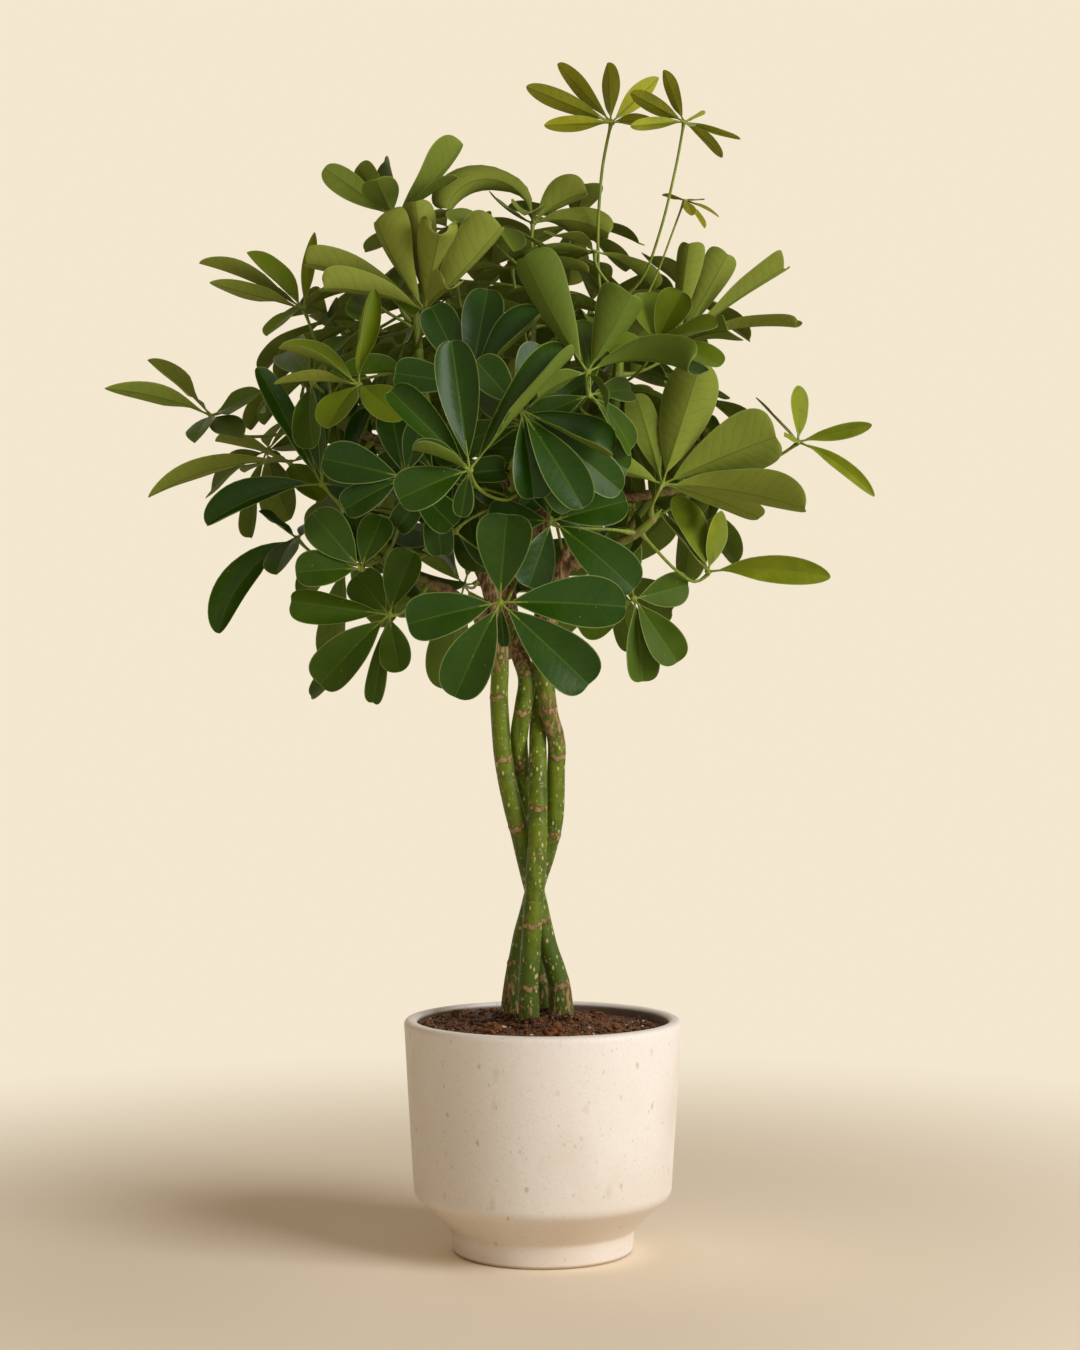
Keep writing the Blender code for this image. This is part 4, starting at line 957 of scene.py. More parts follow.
@dataclass
class Pot:
    """The turned stoneware pot: a round body, a slanting shoulder and a narrower foot."""

    rim_radius: float = 100 * MM
    rim_top: float = 166.5 * MM
    wall: float = 9.5 * MM
    body_foot_radius: float = 92.5 * MM
    body_foot_z: float = 42 * MM
    foot_radius: float = 66 * MM
    crease_z: float = 16.5 * MM
    foot_taper: float = 1.5 * MM
    foot_edge: float = 3 * MM
    rim_rounding: float = 4 * MM
    shoulder_rounding: float = 11 * MM
    crease_rounding: float = 5 * MM
    inner_rounding: float = 10 * MM
    floor_rounding: float = 6 * MM
    floor_z: float = 14 * MM
    middle: float = 2 * MM  # radius of the small flats in the middle of the floor and the underside
    sides: int = 144
    spacing: float = 2.5 * MM
    unevenness: float = 0.28 * MM
    uneven_from: float = 1 * MM  # up to here the foot is true, so that the pot stands flat
    uneven_to: float = 12 * MM

    def outline(self) -> Array:
        """The outline of the pot's side, from the middle of its floor round the rim to its underside.

        Returns:
            Rows of radius and height.
        """
        inner = self.rim_radius - self.wall
        corners = (
            ((self.foot_radius - self.wall, self.floor_z), self.floor_rounding),
            ((self.body_foot_radius - self.wall, self.body_foot_z), self.inner_rounding),
            ((inner, self.rim_top), self.rim_rounding),
            ((self.rim_radius, self.rim_top), self.rim_rounding),
            ((self.body_foot_radius, self.body_foot_z), self.shoulder_rounding),
            ((self.foot_radius, self.crease_z), self.crease_rounding),
            ((self.foot_radius - self.foot_taper, 0.0), self.foot_edge),
        )
        places = [(self.middle, self.floor_z), *(corner for corner, _ in corners), (self.middle, 0.0)]
        line = [np.array(places[0])]
        for (corner, radius), before, after in zip(corners, places, places[2:]):
            line += self.rounded(np.array(before), np.array(corner), np.array(after), radius)
        line.append(np.array(places[-1]))
        return self.filled(line)

    @staticmethod
    def rounded(before: Array, corner: Array, after: Array, radius: float) -> list[Array]:
        """Points of the arc that rounds a corner of the outline.

        Args:
            before: The corner before it.
            corner: The corner.
            after: The corner after it.
            radius: The radius of the arc.

        Returns:
            The points.
        """
        back, ahead = unit(before - corner), unit(after - corner)
        half = math.acos(float(back.dot(ahead))) / 2
        reach = radius / math.tan(half)
        centre = corner + unit(back + ahead) * radius / math.sin(half)
        start, end = unit(corner + back * reach - centre), unit(corner + ahead * reach - centre)
        opening = math.acos(float(np.clip(start.dot(end), -1.0, 1.0)))
        points = []
        for share in np.linspace(0.0, 1.0, 9):
            way = start * math.sin(opening * (1 - share)) + end * math.sin(opening * share)
            points.append(centre + way / math.sin(opening) * radius)
        return points

    def filled(self, line: list[Array]) -> Array:
        """The outline with points added along its straight runs."""
        points = []
        for start, end in zip(line, line[1:]):
            steps = max(1, round(norm(end - start) / self.spacing))
            points += [start + (end - start) * i / steps for i in range(steps)]
        points.append(line[-1])
        return np.array(points)

    def build(self) -> None:
        """Turn the outline, with the slight unevenness of a hand-thrown wall."""
        outline = self.outline()
        turns = -np.arange(self.sides) * TURN / self.sides
        around = np.stack([np.cos(turns), np.sin(turns)], axis=1)
        flat = outline[:, None, :1] * around[None, :, :]
        heights = np.broadcast_to(outline[:, None, 1:], (len(outline), self.sides, 1))
        points = np.concatenate([flat, heights], axis=2).reshape(-1, 3)
        uneven = rough(points, 16.0) * self.unevenness * ease(points[:, 2], self.uneven_from, self.uneven_to)
        points[:, :2] -= unit(points[:, :2]) * np.abs(uneven)[:, None]
        form = Form()
        form.add(points, belt_faces(len(outline), self.sides) + end_faces(len(outline), self.sides))
        form.build("turned_pot", "cream_stoneware", [Stoneware().material()], "pot")


@dataclass
class Soil:
    """The potting soil: a crumbly bed, mounded round the stems."""

    radius: float = 90.0 * MM
    edge_z: float = 158.5 * MM
    mound_z: float = 167.5 * MM
    mound_radius: float = 50 * MM
    lean: float = 4.2 * MM  # how much higher it lies at the back left
    bottom_z: float = 135 * MM
    rings: int = 56
    sides: int = 150
    crumbs: int = 1500
    border: float = 4 * MM
    sizes: tuple[float, ...] = (0.7, 0.9, 1.1, 1.4, 1.9, 2.5)  # half widths in millimetres
    round_size: float = 1.6 * MM  # a larger crumb has more faces
    heaped: int = 110
    heap_sizes: Pair = (0.9, 2.7)  # in millimetres, and so is the next
    heap_width: float = 6.5
    heap_height: float = 4.5 * MM
    # Clumps of bark, in millimetres: x, y and radius
    clumps: tuple[Triple, ...] = ((10, -44, 9), (-34, -38, 6), (52, -22, 6), (24, -62, 5))
    seed: int = 11

    def __post_init__(self) -> None:
        """Start the form and the source of its chance numbers."""
        self.form = Form()
        self.draw = random.Random(self.seed)

    def height(self, x: float, y: float) -> float:
        """The height of the bed's surface above a place."""
        away = math.hypot(x, y)
        mound = 1.0 - float(ease(np.array(away), 0.25 * self.mound_radius, 1.5 * self.mound_radius))
        bumps = noise.noise(Vector((x, y, 0.0)) * 70.0) * 1.5 * MM
        fine = noise.noise(Vector((x, y, 0.1)) * 300.0) * 1.1 * MM
        lean = self.lean * float(ease(np.array(y - x), 0.0, 1.3 * self.radius))
        return self.edge_z + (self.mound_z - self.edge_z) * mound + lean + bumps + fine

    def bed(self) -> None:
        """Add the surface of the bed, its side and its underside."""
        turns = np.arange(self.sides) * TURN / self.sides
        radii = self.radius * (np.arange(self.rings) + 0.3) / (self.rings - 0.7)
        points = []
        for radius, turn in itertools.product(radii, turns):
            x, y = radius * math.cos(turn), radius * math.sin(turn)
            points.append((x, y, self.height(x, y)))
        low = [(self.radius * math.cos(t), self.radius * math.sin(t), self.bottom_z) for t in turns]
        points = np.array(points + low)
        faces = belt_faces(self.rings + 1, self.sides) + end_faces(self.rings + 1, self.sides)
        upwards = [face[::-1] for face in faces]
        self.form.add(points, upwards, crumb=np.tile([0.0, 0.35, 0.0], (len(points), 1)))

    def crumb(self, place: Pair, size: float, kind: float, lift: float = 0.0) -> None:
        """Add one crumb.

        Args:
            place: Where it lies on the bed.
            size: Its half width.
            kind: 0 for peat, 1 for rusty bark, 2 for straw, 3 for grit and 4 for moss.
            lift: How high it lies above the bed, on top of others.
        """
        draw = self.draw
        shape = bmesh.new()
        bmesh.ops.create_icosphere(shape, subdivisions=2 if size > self.round_size else 1, radius=1.0)
        faces = [tuple(corner.index for corner in face.verts) for face in shape.faces]
        points = np.array([tuple(corner.co) for corner in shape.verts])
        shape.free()
        shift = draw.uniform(0.0, 50.0)
        points *= (1.0 + 0.45 * rough(points + shift, 1.3))[:, None]
        points *= np.array([draw.uniform(0.7, 1.5), draw.uniform(0.6, 1.0), draw.uniform(0.45, 0.85)])
        spin, tilt = Matrix.Rotation(draw.uniform(0, TURN), 3, "Z"), draw.uniform(-0.5, 0.5)
        points = points @ np.array(spin @ Matrix.Rotation(tilt, 3, "X")).T * size
        points += np.array([*place, self.height(*place) + 0.25 * size + lift])
        self.form.add(points, faces, crumb=np.tile([kind, draw.random(), 0.0], (len(points), 1)))

    def build(self) -> None:
        """Make the bed, strew crumbs on it, and heap more of them round the stems and in clumps."""
        self.bed()
        draw = self.draw
        for _ in range(self.crumbs):
            away = (self.radius - self.border) * math.sqrt(draw.random())
            turn = draw.uniform(0, TURN)
            size = draw.choice(self.sizes) * MM * draw.uniform(0.8, 1.2)
            straw = 0.16 + 0.22 * away / self.radius
            kind = draw.choices((0.0, 1.0, 2.0, 3.0, 4.0), (0.64, 0.13, straw, 0.07, 0.03))[0]
            size *= 0.55 if kind > 1.5 else 1.0
            self.crumb((away * math.cos(turn), away * math.sin(turn)), size, kind)
        for points in STEMS.values():
            x, y, _, radius = points[1]
            self.heap((x * MM, y * MM), (radius * MM, (radius + self.heap_width) * MM), 0.0)
        for x, y, reach in self.clumps:
            self.heap((x * MM, y * MM), (0.0, reach * MM), 1.0)
        self.form.build("soil_bed", "potting_soil", [PottingSoil().material()], "soil")

    def heap(self, middle: Pair, reach: Pair, kind: float) -> None:
        """Heap crumbs round a place.

        Args:
            middle: The place.
            reach: The least and the greatest distance from it.
            kind: The kind of most of the crumbs.
        """
        draw = self.draw
        for _ in range(self.heaped):
            away, turn = draw.uniform(*reach), draw.uniform(0, TURN)
            size = draw.uniform(*self.heap_sizes) * MM
            own = kind if draw.random() < 0.85 else draw.choice((0.0, 2.0, 3.0))
            place = (middle[0] + away * math.cos(turn), middle[1] + away * math.sin(turn))
            lift = self.heap_height * (reach[1] - away) / (reach[1] - reach[0]) * draw.random()
            self.crumb(place, size * (0.5 if own > 1.5 else 1.0), own, lift)


# ------------ stems and branches

# Leaf scars of each stem: height, the way it faces in degrees right of the front, and its half turn
SCARS = {
    "stem_left": (
        (354, 5, 78), (305, -20, 85.8), (239, 15, 70.2), (193, 30, 62.4), (398, -35, 74.1), (268, 150, 78),
        (330, 190, 78), (214, 200, 78), (376, 160, 70.2)),
    "stem_rear": (
        (388, -5, 78), (350, -25, 70.2), (414, 10, 74.1), (300, 180, 85.8), (250, 170, 78),
        (205, 190, 70.2), (366, 175, 78)),
    "stem_front": (
        (319, 5, 81.9), (237, -10, 85.8), (193, 0, 78), (278, 140, 70.2), (352, -170, 78), (393, 180, 78),
        (215, 170, 62.4)),
    "stem_right": (
        (389, 20, 78), (356, 15, 78), (300, 60, 85.8), (248, 160, 70.2), (206, -60, 70.2), (330, 175, 78)),
}
# Corky patches of each stem: height, half height and how strong
CORK = {
    "stem_left": ((176, 26, 0.46), (432, 22, 0.50)),
    "stem_rear": ((428, 16, 0.70), (180, 24, 0.48)),
    "stem_front": ((172, 14, 0.40),),
    "stem_right": ((380, 26, 0.55), (180, 26, 0.48)),
}


@dataclass
class Plait:
    """The four plaited stems."""

    sides: int = 28
    spacing: float = 1.6 * MM
    band: float = 1.6 * MM
    scar_dip: float = 4.5 * MM
    scar_height: float = 0.45 * MM
    scar_raggedness: float = 0.6 * MM
    scar_end: float = 22.0  # over this many degrees a scar fades at its ends
    lump: float = 0.35 * MM
    cork_grain: float = 0.35 * MM
    bud_length: float = 14 * MM
    woody_from: float = 415 * MM
    woody_to: float = 470 * MM
    woodiness: float = 0.95
    green_from: float = 530 * MM
    green_to: float = 590 * MM
    greening: float = 0.72

    def __post_init__(self) -> None:
        """Make the bark."""
        self.finishes = [GreenBark().material()]

    def scars(self, name: str, heights: Array, facing: Array) -> Array:
        """The leaf scars: curved bands that reach part of the way round.

        Args:
            name: The stem's name.
            heights: The height of each point of the bark.
            facing: The way each point faces, in degrees right of the front.

        Returns:
            How strong they are at each point.
        """
        scars = np.zeros(heights.shape)
        for height, towards, reach in SCARS[name]:
            off = np.abs((facing - towards + 180.0) % 360.0 - 180.0)
            dip = self.scar_dip * (1.0 - np.cos(np.radians(np.minimum(off, 120.0))))
            ragged = self.scar_raggedness * np.sin(facing / 9.0 + height)
            away = np.abs(heights - height * MM - dip + self.scar_dip * 0.5 - ragged)
            band = self.band * (0.35 + 0.65 * np.cos(np.radians(np.minimum(off / reach, 1.0) * 90.0)))
            ring = 1.0 - ease(away / band, 0.4, 1.5)
            scars = np.maximum(scars, ring * (1.0 - ease(off, reach - self.scar_end, reach)))
        return scars

    def cork(self, name: str, heights: Array) -> Array:
        """The corky patches, and the wood under the crown that turns green again towards the tip."""
        cork = ease(heights, self.woody_from, self.woody_to) * self.woodiness
        cork = cork - self.greening * ease(heights, self.green_from, self.green_to)
        for height, half, strength in CORK[name]:
            patch = 1.0 - ease(np.abs(heights - height * MM), 0.4 * half * MM, 1.3 * half * MM)
            cork = np.maximum(cork, patch * strength)
        return cork

    def stem(self, name: str) -> None:
        """Grow one stem with its scars and corky patches."""
        rows = smooth_line(np.array(STEMS[name], float) * MM, self.spacing)
        line, radii = rows[:, :3], rows[:, 3]
        limb = Limb(line, radii, self.sides)
        outward = limb.outward()
        heights = np.broadcast_to(line[:, None, 2], outward.shape[:2])
        facing = np.degrees(np.arctan2(outward[..., 0], -outward[..., 1]))
        scars, cork = self.scars(name, heights, facing), self.cork(name, heights)
        plain = limb.surface()
        uneven = rough(plain, 55.0).reshape(scars.shape)
        fine = rough(plain, 210.0).reshape(scars.shape)
        swell = self.scar_height * scars + self.lump * uneven + cork * self.cork_grain * fine
        lengths = lengths_along(line)
        closing = ease(lengths[-1] - lengths, 0.0, self.bud_length)
        limb.radii = radii * (0.18 + 0.82 * closing)
        marks = np.stack([scars, cork, heights], axis=2).reshape(-1, 3)
        form = Form()
        form.add(limb.surface(swell * closing[:, None]), limb.faces(), bark=marks)
        form.build(f"{name}_bark", "green_bark", self.finishes, name)

    def build(self) -> None:
        """Grow all four stems."""
        for name in STEMS:
            self.stem(name)


@dataclass
class Branches:
    """The side branches inside the crown, each with a swollen foot and a bud at its end."""

    sides: int = 16
    spacing: float = 2.5 * MM
    foot: float = 9 * MM
    foot_swell: float = 0.55
    sunk: float = 3 * MM
    bud_length: float = 9 * MM
    ring_every: float = 9 * MM
    ring_height: float = 0.35 * MM
    lump: float = 0.3 * MM

    def __post_init__(self) -> None:
        """Make the bark."""
        self.finishes = [BrownBark().material()]

    def branch(self, name: str) -> None:
        """Grow one branch along the solid that it stands for."""
        _, root, tip = BRANCHES[name]
        root, tip = root * MM, tip * MM
        knots = branch_knots(name)
        start = knots[0] - unit(knots[1] - knots[0]) * self.sunk
        line = smooth_line(np.concatenate([[start], knots]), self.spacing)
        limb = Limb(line, np.ones(len(line)), self.sides)
        lengths = lengths_along(line)
        share = lengths / lengths[-1]
        radii = root + (tip - root) * share**1.4
        radii += root * self.foot_swell * (1.0 - ease(lengths, 0.0, self.foot))
        closing = ease(lengths[-1] - lengths, 0.0, self.bud_length)
        limb.radii = radii * (0.2 + 0.8 * closing)
        rings = 1.0 - ease(np.abs((lengths / self.ring_every) % 1.0 - 0.5), 0.03, 0.12)
        uneven = rough(limb.surface(), 90.0).reshape(len(line), self.sides)
        swell = self.lump * uneven + self.ring_height * rings[:, None]
        marks = np.repeat(np.stack([share, rings, lengths], axis=1), self.sides, axis=0)
        form = Form()
        form.add(limb.surface(swell * closing[:, None]), limb.faces(), bark=marks)
        form.build(f"{name}_bark", "brown_bark", self.finishes, name)

    def build(self) -> None:
        """Grow every branch."""
        for name in BRANCHES:
            self.branch(name)


def node_points(name: str) -> Array:
    """The corners of a solid, each once."""
    corners = np.array([tuple(corner.co) for corner in frame["nodes"][name].data.vertices])
    return np.unique(np.round(corners, 6), axis=0)


def tree_of(points: Array) -> KDTree:
    """A tree that finds the nearest of some points."""
    tree = KDTree(len(points))
    for i, point in enumerate(points):
        tree.insert(point, i)
    tree.balance()
    return tree


def chain(points: Array, spread: float, end: Array) -> Array:
    """The middles of the rings of a solid limb.

    Args:
        points: The corners of the rings.
        spread: How far apart two corners of one ring may be.
        end: Where the limb ends.

    Returns:
        The middles, from the limb's foot to its end.
    """
    middles = []
    while len(points):
        near = np.linalg.norm(points - points[0], axis=1) < spread
        middles.append(np.mean(points[near], axis=0))
        points = points[~near]
    order = []
    place = end
    while middles:
        nearest = min(range(len(middles)), key=lambda i: np.linalg.norm(middles[i] - place))
        place = middles.pop(nearest)
        order.append(place)
    return np.array(order[::-1])


def branch_knots(name: str) -> Array:
    """The middles of the rings of a solid branch, from its foot to its end."""
    end, root, _ = BRANCHES[name]
    return chain(node_points(name), RING_REACH * root * MM, np.array(end) * MM)


# ------------ leaves


def facing_vector(right: float, up: float) -> Array:
    """The unit vector that looks this many degrees right of the front and up."""
    right, up = math.radians(right), math.radians(up)
    return np.array([math.sin(right) * math.cos(up), -math.cos(right) * math.cos(up), math.sin(up)])


@dataclass(frozen=True)
class Leaflet:
    """One leaflet: its tip from the hub, its width, and its roll, bend and cup in radians."""

    tip: Array
    width: float
    roll: float = 0.0
    bend: float = 1e-4
    cup: float = math.radians(6)

    @classmethod
    def drawn(cls, x: float, y: float, z: float, width: float, roll: float = 0, bend: float = 0,
              cup: float = 6) -> Leaflet:
        """A leaflet from millimetres and degrees."""
        tip = np.array([x, y, z], float) * MM
        return cls(tip, width * MM, math.radians(roll), math.radians(bend) or 1e-4, math.radians(cup))

    def turned(self, facing: Array, lift: float, roll: float, size: float) -> Leaflet:
        """The leaflet as it gives way to its neighbours.

        Args:
            facing: The way the leaf's upper side faces.
            lift: Degrees by which it is lifted.
            roll: Degrees by which it is rolled.
            size: Its share of its full size.

        Returns:
            The moved leaflet.
        """
        axis = Vector(np.cross(self.tip, facing)).normalized()
        tip = np.array(Matrix.Rotation(math.radians(lift), 3, axis) @ Vector(self.tip)) * size
        return Leaflet(tip, self.width * size, self.roll + math.radians(roll), self.bend, self.cup)

    def curled(self, roll: float, bend: float, cup: float, width: float) -> Leaflet:
        """The leaflet as it curled with age.

        Args:
            roll: Degrees of roll that it gained.
            bend: Degrees of bend that it gained.
            cup: Degrees of cup that it gained.
            width: Its width's share of what it was.

        Returns:
            The curled leaflet.
        """
        roll, bend, cup = np.array([self.roll, self.bend, self.cup]) + np.radians([roll, bend, cup])
        return Leaflet(self.tip, self.width * width, float(roll), float(bend), float(cup))

    def stations(self, facing: Array, shares: Array) -> tuple[Array, Array, Array]:
        """The middle of the leaflet, its side and its upper normal at shares of its length.

        Args:
            facing: The way the leaf's upper side faces.
            shares: The shares of its length.

        Returns:
            Three rows of vectors.
        """
        length = norm(self.tip)
        chord = self.tip / length
        normal = unit(facing - chord * facing.dot(chord))
        half = self.bend / 2
        radius = length / (2 * math.sin(half))
        turn = half - self.bend * shares
        middle = np.outer(radius * (math.sin(half) - np.sin(turn)), chord)
        middle += np.outer(radius * (np.cos(turn) - math.cos(half)), normal)
        up = np.outer(np.cos(turn), normal) - np.outer(np.sin(turn), chord)
        side = np.cross(chord, normal)
        roll = self.roll * np.minimum(1.0, shares / ROLLED_FROM)
        cos, sin = np.cos(roll)[:, None], np.sin(roll)[:, None]
        return middle, side * cos - up * sin, up * cos + side * sin

    def corners(self, facing: Array) -> Array:
        """The corners that the leaflet's solid has along its blade."""
        shares = np.array([share for share, _ in BLADE_ROWS])
        half = np.array([broad for _, broad in BLADE_ROWS])[:, None] * self.width / 2
        middle, side, up = self.stations(facing, shares)
        rise = up * half * math.sin(self.cup)
        across = side * half * math.cos(self.cup)
        return np.concatenate([middle + across + rise, middle - across + rise])


@dataclass
class Blade:
    """The blade of one leaflet, as rows of points from its stalklet to its tip."""

    leaf: Leaf
    leaflet: Leaflet
    start: float = 0.10  # where it starts and ends, as shares of the leaflet and of the blade
    end: float = 0.998
    rows: int = 18
    half_row: tuple[float, ...] = (1.0, 0.96, 0.86, 0.7, 0.5, 0.3, 0.14, 0.05, 0.0)
    base_power: float = 0.9
    tip_power: float = 0.45
    thickness: float = 0.5 * MM
    rib: float = 0.45 * MM
    rib_reach: float = 0.7 * MM
    groove: float = 0.3 * MM
    groove_reach: float = 0.9 * MM
    margin: float = 0.2 * MM
    droop: float = 0.5 * MM  # how far the margins roll down
    wave: float = 1.1 * MM
    broad: float = 30 * MM  # a narrower blade waves less
    notch: float = 0.07  # how far a blunt tip is notched, as a share of the length
    crease: Pair = (3.0, 11.0)  # how far the halves fold up along the midrib, in degrees
    neck: float = 0.8 * MM  # half the width where it meets its stalklet, and at least anywhere
    least: float = 0.25 * MM

    def __post_init__(self) -> None:
        """Lay out the rows: their places along the blade, half their widths and the columns across."""
        self.length = norm(self.leaflet.tip)
        along = np.sin(np.linspace(0.0, 1.0, self.rows) * math.pi / 2) * self.end
        self.tip = self.leaf.pointed - self.leaf.draw.uniform(0.0, 0.5)
        half = np.maximum(self.leaflet.width / 2 * self.half_widths(along), self.neck * (1 - along))
        self.along, self.half = along[:, None], np.maximum(half, self.least)[:, None]
        self.columns = np.array([*self.half_row, *(-place for place in self.half_row[-2::-1])])[None, :]
        shares = self.start + (1 - self.start) * along
        self.middle, self.side, self.up = self.leaflet.stations(self.leaf.facing, shares)

    def half_widths(self, shares: Array) -> Array:
        """Half the width of the blade, as a share of its greatest, at shares of its own length."""
        tip = self.tip_power + 0.35 * self.tip
        widest = self.base_power / (self.base_power + tip)
        full = widest**self.base_power * (1 - widest) ** tip
        return shares**self.base_power * np.maximum(1 - shares, 0.0) ** tip / full

    def upper_face(self) -> Array:
        """The points of the upper face: cupped, folded, waved, and grooved along the midrib.

        Returns:
            The points, row after row.
        """
        along, half, columns, draw = self.along, self.half, self.columns, self.leaf.draw
        curl = 2 * self.leaflet.cup + 1e-4
        across = half * np.sign(columns) * np.sin(curl * np.abs(columns)) / curl
        rise = half * (1 - np.cos(curl * np.abs(columns))) / curl
        crease = math.tan(math.radians(draw.uniform(*self.crease)))
        rise = rise + half * crease * (np.sqrt(columns**2 + 0.01) - 0.1)
        phase, other = draw.uniform(0, TURN), draw.uniform(0, TURN)
        swing = np.where(columns > 0, np.sin(along * 7.5 + phase), np.sin(along * 6.5 + other))
        fade = np.sin(math.pi * np.minimum(along, 0.97))
        rise = rise + self.wave * min(1.0, self.leaflet.width / self.broad) * swing * columns**2 * fade
        rise = rise - self.droop * np.abs(columns) ** 6 * fade
        rise = rise - self.groove * np.exp(-((columns * half / self.groove_reach) ** 2)) * (1 - along)
        top = self.middle[:, None] + self.side[:, None] * across[..., None]
        top = top + self.up[:, None] * rise[..., None]
        dent = self.notch * max(0.0, -self.tip - 0.35) * self.length
        pulled = dent * along**10 * (1 - np.abs(columns)) ** 1.5
        return top - pulled[..., None] * unit(self.middle[-1] - self.middle[-2])

    def loops(self) -> Array:
        """The loop of points round each row: the upper face, a margin, the underside, the other margin.

        Returns:
            The points, row after row.
        """
        top = self.upper_face()
        thin = np.minimum(self.thickness, 0.6 * self.half + 0.1 * MM) * (1 - 0.4 * np.abs(self.columns))
        ribs = self.rib * np.exp(-((self.columns * self.half / self.rib_reach) ** 2)) * (1 - 0.8 * self.along)
        below = top - self.up[:, None] * (thin + ribs)[..., None]
        edge = (top + below)[:, (0, -1)] / 2
        edge += self.side[:, None] * np.array([self.margin, -self.margin])[None, :, None]
        return np.concatenate([top, edge[:, 1:], below[:, ::-1], edge[:, :1]], axis=1)

    def marks(self) -> dict[str, Array]:
        """What the finishes read at each point.

        Returns:
            Millimetres across, along and from the edge, then the leaf's tone, the share and a chance number.
        """
        length = self.length / MM
        spread = np.concatenate([self.columns[0], [-1.0], self.columns[0, ::-1], [1.0]])[None, :]
        across = spread * self.half / MM
        onward = np.broadcast_to(self.along * length * (1 - self.start), across.shape)
        edge = np.minimum(self.half / MM * (1 - np.abs(spread)), (1 - self.along) * length)
        own = np.broadcast_to([self.leaf.tone, 0.0, self.leaf.draw.random()], (*across.shape, 3)).copy()
        own[..., 1] = self.along
        return {"blade": np.stack([across, onward, edge], axis=2).reshape(-1, 3), "leaf": own.reshape(-1, 3)}

    def faces(self) -> tuple[Faces, list[int]]:
        """The faces of the blade.

        Returns:
            Their corners, and the finish of each: 0 for the upper side and the two ends, 1 for the underside.
        """
        wide = self.columns.size
        sides = 2 * wide + 2
        faces = [face[:1] + face[:0:-1] for face in belt_faces(self.rows, sides)]
        finishes = [0 if column < wide else 1 for _ in range(self.rows - 1) for column in range(sides)]
        for first, way in ((0, 1), ((self.rows - 1) * sides, -1)):
            for k in range(wide):
                ends = tuple(first + place for place in (k, k + 1, 2 * wide - k, 2 * wide + 1 - k))
                faces.append(ends[::way])
        return faces, finishes + [0] * (2 * wide)

    def add_to(self, form: Form) -> None:
        """Add the blade to a form."""
        form.add(self.loops().reshape(-1, 3) + self.leaf.hub, *self.faces(), **self.marks())


